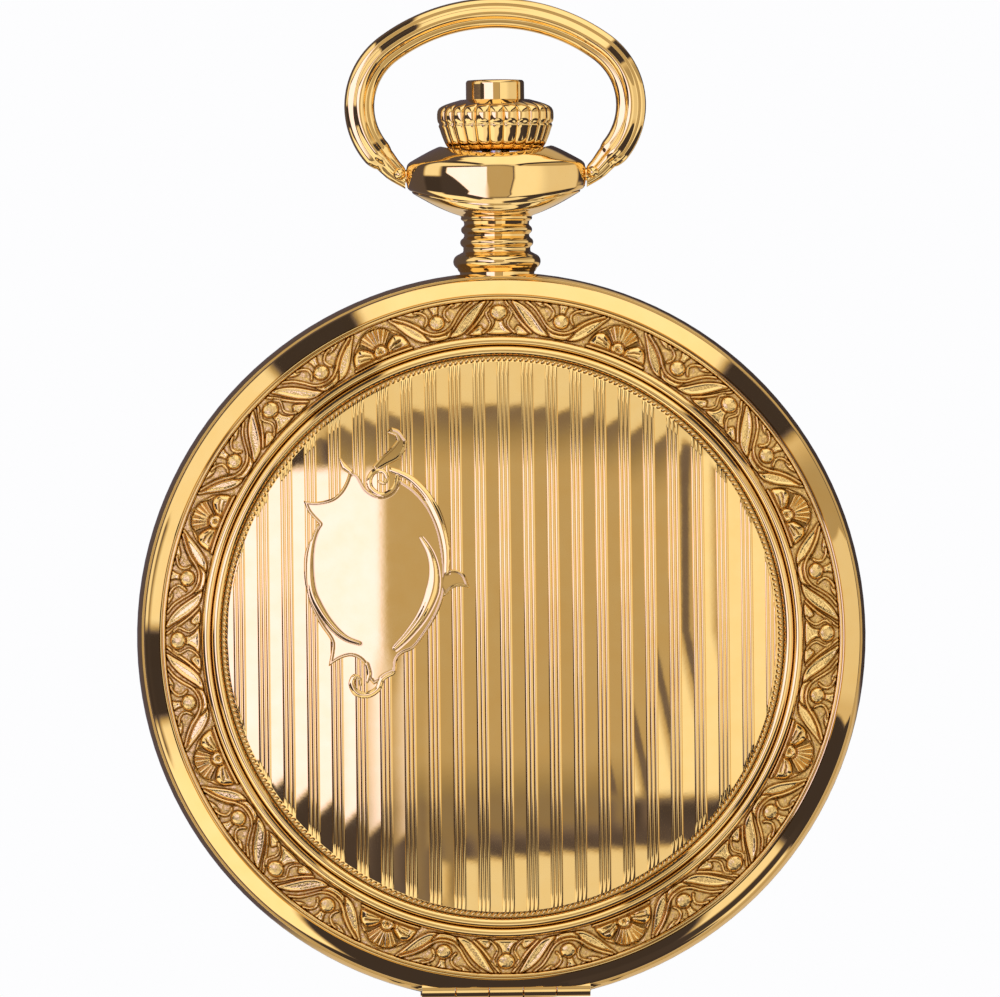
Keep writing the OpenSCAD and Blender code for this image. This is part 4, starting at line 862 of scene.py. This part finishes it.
def makeBow():
    s, e = bowSizes, pendantSizes["earZ"]
    line = bowLine()
    last = len(line) - 1
    tangent = np.gradient(line, axis=0)
    tangent /= np.linalg.norm(tangent, axis=1)[:, None]
    across, forward = np.array(wireSection()).T
    # Each end closes in a half ball round the pin.
    stations = [(0, q) for q in range(90, 0, -15)] + [(k, 0) for k in range(last + 1)]
    rings = []
    for at, size in stations + [(last, q) for q in range(15, 91, 15)]:
        turn = math.radians(size)
        swell = math.cos(turn) * (0.6 + 0.4 * ramp(min(at, last - at), 0, 13))
        out = (-1 if at == 0 else 1) * tangent[at] * s["wire"] * 0.55 * math.sin(turn)
        x = line[at, 0] + out[0] + tangent[at, 1] * across * swell
        z = line[at, 1] + out[1] - tangent[at, 0] * across * swell
        rings.append(np.stack([x, forward * swell, z], axis=-1))
    points = np.array(rings)
    x, z = points[..., 0], points[..., 2]
    points[..., 0] = np.where(z < e + 3, np.sign(x) * np.maximum(np.abs(x), s["inside"]), x)
    points[..., 2] = np.maximum(z, e - 0.95)
    dome = lathe([(0.43, 0), (0.43, 0.5)] + arc(0, 0.5, 0.43, 12, 84, 6) + [(0, 0.93)], 24)
    caps = [(dome + (side * 6.64, 0, e + 0.12), True, False) for side in (-1, 1)]
    placeGold(gridMesh("bow_drawn", 40, (points, False, True), *caps), "bow", "bow")
    r = s["pinR"]
    head = [(0, 5.2), (r - 0.01, 5.2), (r, 5.25), (r, 6.9), (r - 0.03, 7.05), (r - 0.15, 7.15), (0, 7.2)]
    for name, side, replaced in (("left", -1, ["bow_screws"]), ("right", 1, [])):
        pin = lathe(head, 28)[..., [1, 2, 0]] * (side, 1, 1) + (0, 0, e)
        placeGold(gridMesh("bow_pin_" + name, 34, (pin, True, False)), "case", *replaced)


makePendant()
makeCrown()
makeButton()
makeBow()
print("pendant, crown, button and bow built")


# Parts of the frame that stay as they are get their faces joined and their edges broken by so much.
edgeBreaks = {
    "case_middle": 0.05, "front_bezel": 0.06, "back_bezel": 0.06, "main_plate": 0.04, "barrel_bridge": 0.07,
    "train_bridge": 0.07, "pallet_bridge": 0.05, "balance_cock": 0.07, "movement_ring": 0.05,
    "ratchet_wheel": 0.02, "crown_wheel": 0.02, "balance_wheel": 0.03, "click": 0.03,
}


def finishCopy(name, width):
    source = nodes[name]
    mesh = source.data.copy()
    mesh.transform(source.matrix_world)
    if "custom_normal" in mesh.attributes:
        mesh.attributes.remove(mesh.attributes["custom_normal"])
    bm = bmesh.new()
    bm.from_mesh(mesh)
    bmesh.ops.remove_doubles(bm, verts=bm.verts, dist=2e-6)
    bmesh.ops.dissolve_limit(bm, angle_limit=math.radians(0.6), verts=bm.verts, edges=bm.edges)
    sharp = [e for e in bm.edges if len(e.link_faces) == 2 and e.calc_face_angle(0) > math.radians(40)]
    bmesh.ops.bevel(bm, geom=sharp, offset=width * mm, offset_type="OFFSET", segments=1, profile=0.5,
                    affect="EDGES", clamp_overlap=True)
    bmesh.ops.triangulate(bm, faces=[f for f in bm.faces if len(f.verts) > 4])
    bm.to_mesh(mesh)
    bm.free()
    mesh.name = name + "_finished"
    place(tidyMesh(mesh), source.data.materials[0], body_of(source)[0], name)


for name, width in edgeBreaks.items():
    finishCopy(name, width)
print("edges broken on", len(edgeBreaks), "parts")


dialSizes = {"face": 2.0, "ink": 0.02, "trackR": 17.5, "trackWidth": 0.9, "numeralR": 14.6, "numeralH": 3.3,
             "numeralWidth": 0.74, "secondsZ": -7.4, "secondsR": 4.7}
handSizes = {
    # Node: body, turn in degrees, level, thickness, hub, bore, height of the middle, and (distance, half
    # width) along the hand.
    "hour_hand": ("hour", 305, 2.3, 0.15, 1.3, 0.85, 0,
                  ((-1.9, 0.3), (-1.2, 0.34), (1.2, 0.3), (4.6, 0.26), (5, 0.5), (5.7, 1), (6.5, 1.22), (7.3, 0.98),
                   (8.1, 0.42), (8.9, 0.22), (10.5, 0.02))),
    "minute_hand": ("centre", 60, 2.65, 0.15, 1, 0.4, 0,
                    ((-2.9, 0.34), (-1, 0.26), (1, 0.26), (8.6, 0.22), (9, 0.42), (9.8, 0.78), (10.7, 0.92),
                     (11.6, 0.7), (12.4, 0.3), (13.2, 0.18), (16.2, 0.02))),
    "seconds_hand": ("fourth", 0, 2.06, 0.1, 0.5, 0.2, -7.4, ((-0.76, 0.2), (-0.3, 0.12), (0.5, 0.1), (4.2, 0.02))),
}
screwSizes = {"slotWidth": 0.26, "slotDepth": 0.16, "cap": 1.14}
screwSpots = {
    # Node: body, head radius, top and underside, and where they stand.
    "bridge_screws": ("case", 0.75, -2.6, -1.65, ((7.79, 14.66), (16.86, -1.18), (-9.76, 13.43), (12.87, -10.8),
                                                  (-6.29, -15.58))),
    "cockScrew": ("case", 0.75, -3.25, -2.3, ((-17.06, 1.19),)),
    "palletScrew": ("case", 0.75, -1.65, -1.1, ((-8.6, -11.4),)),
    "case_screws": ("case", 0.9, -0.45, 0.1, ((16.92, -4.85), (-16.92, 4.85))),
    "click_screw": ("case", 0.75, -3, -2.5, ((10.92, 12.23),)),
    "ratchet_screw": ("ratchet", 1.5, -3, -2.45, ((7.79, 4.5),)),
}


def markRing(add, given):
    # Bars round a middle, each along its radius.
    spots, _, facing = ringSpots(add, given)
    size = add("ShaderNodeCombineXYZ", {"X": given["Width"], "Y": given["Depth"], "Z": given["Length"]})
    bar = add("GeometryNodeMeshCube", {"Size": size[0]})
    return add("GeometryNodeInstanceOnPoints", {
        "Points": spots, "Instance": bar["Mesh"], "Rotation": facing})[0]


def slottedHead(add, given):
    # Cheese heads with a soft edge, each slot turned at random.
    sized = {name: add("ShaderNodeMath", {0: given[source], 1: factor}, operation="MULTIPLY")[0]
             for name, source, factor in (
                 ("capTop", "Head Radius", 0.86), ("capHeight", "Height", 0.14), ("capLift", "Height", 0.5),
                 ("bodyDrop", "Height", -0.07), ("slotLength", "Head Radius", 2.4), ("slotHeight", "Slot Depth", 2),
                 ("slotLift", "Height", 0.57))}
    body = add("GeometryNodeMeshCylinder", {
        "Vertices": 40, "Radius": given["Head Radius"], "Depth": given["Height"]})
    cap = add("GeometryNodeMeshCone", {
        "Vertices": 40, "Radius Top": sized["capTop"], "Radius Bottom": given["Head Radius"],
        "Depth": sized["capHeight"]})
    slotSize = add("ShaderNodeCombineXYZ", {
        "X": sized["slotLength"], "Y": given["Slot Width"], "Z": sized["slotHeight"]})
    slot = add("GeometryNodeMeshCube", {"Size": slotSize[0]})
    parts = []
    for part, lift in ((body, "bodyDrop"), (cap, "capLift"), (slot, "slotLift")):
        move = add("ShaderNodeCombineXYZ", {"Z": sized[lift]})
        parts.append(add("GeometryNodeTransform", {"Geometry": part["Mesh"], "Translation": move[0]})[0])
    head = add("GeometryNodeMeshBoolean", {1: parts[:2]}, operation="UNION", solver="EXACT")
    cut = add("GeometryNodeMeshBoolean", {0: head[0], 1: parts[2]}, operation="DIFFERENCE", solver="EXACT")
    chance = add("FunctionNodeRandomValue", {"Seed": 7}, data_type="FLOAT")
    angle = add("ShaderNodeMath", {0: chance[1], 1: math.pi}, operation="MULTIPLY")
    spin = add("ShaderNodeCombineXYZ", {"X": -math.pi / 2, "Y": angle[0]})
    return add("GeometryNodeInstanceOnPoints", {
        "Points": given["Geometry"], "Instance": cut[0], "Rotation": spin[0]})[0]


def flatPieces(name, outlines, level, depth):
    # Thin plates with the given outlines, each standing on the dial's face.
    mesh = bpy.data.meshes.new(name)
    bm = bmesh.new()
    for outline in outlines:
        under, over = ([bm.verts.new(inRow((x, f, z))) for x, z in outline] for f in (level, level + depth))
        bm.faces.new(under)
        bm.faces.new(over[::-1])
        for i in range(len(outline)):
            bm.faces.new((under[i - 1], over[i - 1], over[i], under[i]))
    bmesh.ops.recalc_face_normals(bm, faces=bm.faces)
    bm.to_mesh(mesh)
    bm.free()
    return mesh


def numeralStrokes(letters, height):
    # Upright strokes with feet, in mm, from the numeral's own middle.
    widths = {"I": 0.78, "V": 2.0, "X": 2.0}
    h = height / 2
    x = -sum(widths[c] for c in letters) / 2
    strokes = []
    for c in letters:
        w = widths[c]
        m = x + w / 2
        # Each bar: where it stands above and below, and its half width; then where the feet go.
        bars, feet = {
            "I": ([(m, m, 0.2)], [(m, h), (m, -h)]),
            "V": ([(x + 0.5, m, 0.22), (x + w - 0.45, m + 0.1, 0.07)], [(x + 0.5, h), (x + w - 0.45, h)]),
            "X": ([(x + 0.45, x + w - 0.45, 0.22), (x + w - 0.4, x + 0.4, 0.07)],
                  [(x + 0.45, h), (x + w - 0.4, h), (x + 0.4, -h), (x + w - 0.45, -h)]),
        }[c]
        strokes += [[(a - t, h), (a + t, h), (b + t, -h), (b - t, -h)] for a, b, t in bars]
        strokes += [[(a - 0.36, b - 0.05), (a + 0.36, b - 0.05), (a + 0.36, b + 0.05), (a - 0.36, b + 0.05)]
                    for a, b in feet]
        x += w
    return strokes


def makeDial():
    d = dialSizes
    track, wide, small, low, f = d["trackR"], d["trackWidth"], d["secondsR"], d["secondsZ"], d["face"]
    marks = growTree("ringOfMarks", ("Count", "Ring Radius", "Length", "Width", "Depth", "Centre"), markRing)
    for name, count, radius, length, width, middle in (
            ("dial_minutes", 60, track, wide, 0.1, 0), ("dial_hours", 12, track, wide, 0.34, 0),
            ("dial_seconds", 60, small - 0.35, 0.5, 0.07, low), ("dial_tens", 6, small - 0.45, 0.75, 0.16, low)):
        depth = d["ink"] * (1 if count == 60 else 1.1)
        mesh = grow(name, marks, {
            "Count": count, "Ring Radius": radius * mm, "Length": length * mm, "Width": width * mm,
            "Depth": depth * mm, "Centre": tuple(inRow((0, f + d["ink"] / 2, middle))), "Finish": ink})
        place(mesh, ink, "case", slot="dial_enamel")
    rings = []
    for radius, z in ((track - wide / 2, 0), (track + wide / 2, 0), (small, low), (small - 0.6, low)):
        line = [(radius - 0.04, f), (radius - 0.04, f + 0.019), (radius + 0.04, f + 0.019), (radius + 0.04, f)]
        rings.append((lathe(line, 120) + (0, 0, z), True, True))
    place(gridMesh("dial_rings", 30, *rings), ink, "case", slot="dial_enamel")
    outlines = []
    for hour, letters in enumerate(("XII", "I", "II", "III", "IIII", "V", "", "VII", "VIII", "IX", "X", "XI")):
        c, q = math.cos(math.radians(hour * 30)), math.sin(math.radians(hour * 30))
        for stroke in numeralStrokes(letters, d["numeralH"]):
            spread = [(x * d["numeralWidth"], d["numeralR"] + z) for x, z in stroke]
            outlines.append([(z * q + x * c, z * c - x * q) for x, z in spread])
    place(flatPieces("dial_numerals", outlines, f, 0.017), ink, "case", slot="dial_enamel")


def makeHands():
    for name, (body, angle, level, thick, hub, bore, middle, shape) in handSizes.items():
        line = curvePoints(shape, 4)
        along, w = line[:, 0], np.maximum(line[:, 1], 0.02)
        edge, top = level + thick * 0.4, level + thick
        blade = np.stack([np.stack([w * q, np.full(len(w), f), along], axis=-1)
                          for q, f in ((-1, level), (-1, edge), (0, top), (1, edge), (1, level))], axis=1)
        disc = [(bore, level), (bore, top), (hub - 0.08, top), (hub, level + thick * 0.5), (hub, level)]
        grids = [(lathe(disc, 56), True, True)]
        # The blade stops short of the hub's hole, and both of its ends are closed.
        for part in (blade[along < -bore - 0.05], blade[along > bore + 0.05]):
            if len(part) > 1:
                ends = [np.repeat(q.mean(axis=1, keepdims=True), 5, axis=1) for q in (part[:1], part[-1:])]
                grids.append((np.concatenate([ends[0], part, ends[1]]), False, True))
        c, q = math.cos(math.radians(angle)), math.sin(math.radians(angle))
        turn = np.array([(c, 0, -q), (0, 1, 0), (q, 0, c)])
        grids = [(points @ turn + (0, 0, middle), wrapU, wrapV) for points, wrapU, wrapV in grids]
        place(gridMesh(name + "_blued", 20, *grids), blued, body, name, slot="blued_steel")


def makeScrews():
    s = screwSizes
    tree = growTree("slottedScrews", ("Head Radius", "Height", "Slot Width", "Slot Depth"), slottedHead)
    for name, (body, radius, top, low, spots) in screwSpots.items():
        mesh = grow(name + "_slotted", tree, {
            "Head Radius": radius * mm, "Height": (low - top) * mm / s["cap"], "Finish": steel,
            "Slot Width": radius * s["slotWidth"] * mm, "Slot Depth": s["slotDepth"] * mm},
            [inRow((x, (top + low) / 2, z)) for x, z in spots])
        place(tidyMesh(mesh, 30), steel, body, *([name] if name in nodes else []), slot="steel")


makeDial()
makeHands()
makeScrews()
print("dial printed, hands and screws made")


viewSizes = {"lens": 800.0, "sensor": 36.0, "width": 68.6, "side": -1.2, "roll": 0.66, "lookF": 1.0, "lookZ": 9.47}
stageSizes = {"floorDrop": 0.075, "floorSize": 5.0}


def makeStage():
    half, z = stageSizes["floorSize"] / 2, cadBox[0][2] - stageSizes["floorDrop"]
    mesh = bpy.data.meshes.new("floor")
    mesh.from_pydata([(-half, -half, z), (half, -half, z), (half, half, z), (-half, half, z)], [], [(0, 1, 2, 3)])
    mesh.materials.append(paper)
    floor = bpy.data.objects.new("floor", mesh)
    bpy.context.scene.collection.objects.link(floor)
    floor.visible_glossy = False


skySums = {
    # What the light depends on, worked out from the ray: degrees to the side, above the level, away from
    # the camera and round it, then the bent and leaning lines that the cards' edges follow.
    "front": ("MULTIPLY", "Y", -1), "sideTurn": ("ARCTAN2", "X", "front"), "side": ("DEGREES", "sideTurn"),
    "riseTurn": ("ARCSINE", "Z"), "rise": ("DEGREES", "riseTurn"),
    "awayTurn": ("ARCCOSINE", "front"), "away": ("DEGREES", "awayTurn"),
    "roundTurn": ("ARCTAN2", "Z", "X"), "round": ("DEGREES", "roundTurn"),
    "square": ("MULTIPLY", "side", "side"), "bend": ("DIVIDE", "square", 70), "arch": ("ADD", "rise", "bend"),
    "tilt": ("MULTIPLY", "side", 0.08), "lean": ("SUBTRACT", "rise", "tilt"),
    "below": ("MINIMUM", "rise", 0), "drift": ("MULTIPLY", "below", 0.42), "slant": ("SUBTRACT", "side", "drift"),
    "fromFoot": ("ADD", "side", 16), "slope": ("MULTIPLY", "fromFoot", 0.49), "foot": ("ADD", "rise", "slope"),
    # The left card is a bare white lamp; its inner edge is softer lower down.
    "blur": [("rise", 0, -7, 0.6, 3.4)], "fromEdge": ("SUBTRACT", -8.9, "side"),
    "edge": ("DIVIDE", "fromEdge", "blur"),
    "lamp": [("edge", -1, 1), ("side", -54.5, -51.5), ("rise", 14.2, 13.2), ("foot", -13.7, -12.7)],
    "unlit": ("SUBTRACT", 1, "lamp"),
    "lampFrame": [("side", -66, -58), ("side", -13, -16), ("rise", 19, 16), ("rise", -20, -16), "unlit"],
}
skyPanels = (
    # The panels all round, brighter above and at the lower left, dark in the gaps and under the watch.
    # Each has its brightness and then what it is measured by, where it starts and where it is full; a
    # number there is a direction round the camera.
    (0.95,), (1.12, (80, 36, 24)), (0.38, (8, 30, 18)), (1.15, (222, 28, 16)), (0.05, (41, 9.5, 6.5)),
    (0.05, (121, 10, 7)), (0.05, (186, 9.5, 6.5)), (0.05, (336, 14.5, 11.5)),
    (0.05, ("rise", -50, -54), ("away", 40, 45)), (0.06, (303, 27, 21), ("away", 71, 67), ("away", 40, 45)),
)
skyRoom = (
    # Near the camera: a dim room, dark low down, with the cards that the dome shows.
    (0.44,), (0.2, ("arch", 13.8, 18.8)), (0.24, ("rise", -9.7, -14.3)),
    (0.07, ("rise", -13.4, -14.6), ("side", -4, -11)), (0.07, ("rise", -13.5, -14.5), ("side", 10, 14)),
    (0.1, ("lean", -16.1, -18.1), ("side", -4, 0)), (0.8, ("arch", 18.8, 19.4)),
    (0.82, ("lean", -18.5, -19.3), ("side", -5, -2)), ("panels", ("away", 26, 29)),
    (0.07, (220, 22.5, 19.5), ("away", 24, 26), ("away", 41, 36)),
    (1, ("slant", 17.5, 19.3), ("rise", 15, 14), ("rise", -14, -13), ("side", 60, 40, 0.6, 1)),
    (0.16, ("slant", 16, 16.5), ("slant", 17.8, 17.3), ("rise", 16, 15), ("rise", -14, -13)),
    (0.06, "lampFrame"), (1.35, "lamp"),
    # Behind the watch the panels stop, which draws its outlines.
    (0.05, ("away", 112, 122)), (0.55, ("away", 114, 124), ("rise", -4, -9)),
    (0.45, ("away", 114, 124), ("rise", 28, 36)), (0.1, ("away", 86, 94), (160, 86, 70)),
)
skyTones = (
    # The dim room is warm, the lamp a little cold: colour, and the brightness at which it takes over.
    ((1, 0.85, 1.2, 1),), ((1.2, 1, 0.76, 1), ("light", 0.1, 0.3)), ((1.05, 1, 0.94, 1), ("light", 0.45, 0.9)),
    ((1.02, 1, 1.9, 1), "lamp"),
)


def makeSky():
    # A tent of soft panels with dark gaps, and a dim room where the camera stands.
    world = bpy.data.worlds.new("studioTent")
    bpy.context.scene.world = world
    world.use_nodes = True
    tree = world.node_tree
    tree.nodes.clear()
    add = partial(addNode, tree)
    ray = add("ShaderNodeTexCoord")["Generated"]
    at = dict(add("ShaderNodeSeparateXYZ", {0: ray}).items())

    def work(rows):
        # Works out each row: a mask's bands, or a sum of numbers and of values that are already there.
        for name, row in rows.items():
            if isinstance(row, list):
                at[name] = mask(row)
            else:
                given = {k: at[v] if isinstance(v, str) else v for k, v in enumerate(row[1:])}
                at[name] = add("ShaderNodeMath", given, operation=row[0])[0]

    def mask(bands):
        # The product of its bands: a value's name, or what is measured, where it starts and where it is full.
        made = 1
        for band in bands:
            step = at.get(band)
            if step is None:
                what, low, high, *ends = band
                if what not in at:
                    work({"turn": ("SUBTRACT", "round", what), "near": ("WRAP", "turn", 180, -180),
                          what: ("ABSOLUTE", "near")})
                least, most = ends or (0, 1)
                step = add("ShaderNodeMapRange", {
                    "Value": at[what], "From Min": low, "From Max": high, "To Min": least, "To Max": most},
                    interpolation_type="SMOOTHSTEP")["Result"]
            made = add("ShaderNodeMath", {0: made, 1: step}, operation="MULTIPLY")[0]
        return made

    def stack(layers, kind="FLOAT", first=2, out=0):
        # Lays each brightness or colour over the last one, where its bands let it show.
        made = layers[0][0]
        for level, *bands in layers[1:]:
            made = add("ShaderNodeMix", {
                "Factor": mask(bands), first: made, first + 1: at[level] if isinstance(level, str) else level},
                data_type=kind)[out]
        return made

    work(skySums)
    at["panels"] = stack(skyPanels)
    at["light"] = stack(skyRoom)
    tent = add("ShaderNodeBackground", {"Color": stack(skyTones, "RGBA", 6, 2), "Strength": at["light"]})
    plain = add("ShaderNodeBackground", {"Color": linear("#ffffff"), "Strength": 1.03})
    sheet = add("ShaderNodeBackground", {"Color": linear("#fdfdfe"), "Strength": 1})
    at.update(add("ShaderNodeLightPath").items())
    # Most of the light that comes through the glasses is the even one, so the dial stays white.
    work({"through": ("MULTIPLY", "Is Transmission Ray", 0.7), "kept": ("SUBTRACT", 1, "through"),
          "mirrored": ("MULTIPLY", "Is Glossy Ray", "kept")})
    bent = add("ShaderNodeMixShader", {0: at["mirrored"], 1: plain[0], 2: tent[0]})
    seen = add("ShaderNodeMixShader", {0: at["Is Camera Ray"], 1: bent[0], 2: sheet[0]})
    add("ShaderNodeOutputWorld", {"Surface": seen[0]})


def makeCamera():
    v = viewSizes
    camera = bpy.data.cameras.new("camera")
    camera.lens = v["lens"]
    camera.sensor_width = v["sensor"]
    camera.clip_start = 0.01
    camera.clip_end = 20.0
    obj = bpy.data.objects.new("camera", camera)
    bpy.context.scene.collection.objects.link(obj)
    target = Vector((0, -v["lookF"] * mm, (v["lookZ"] - hangZ) * mm))
    side = math.radians(v["side"])
    obj.location = target + Vector((math.sin(side), -math.cos(side), 0)) * v["width"] * mm * v["lens"] / v["sensor"]
    turn = (target - obj.location).to_track_quat("-Z", "Y").to_matrix().to_4x4()
    roll = Matrix.Rotation(math.radians(-v["roll"]), 4, "Z")
    obj.matrix_world = Matrix.Translation(obj.location) @ turn @ roll
    bpy.context.scene.camera = obj
    bpy.context.scene.view_settings.view_transform = "Standard"


makeStage()
makeSky()
makeCamera()
print("stage, light and camera set")
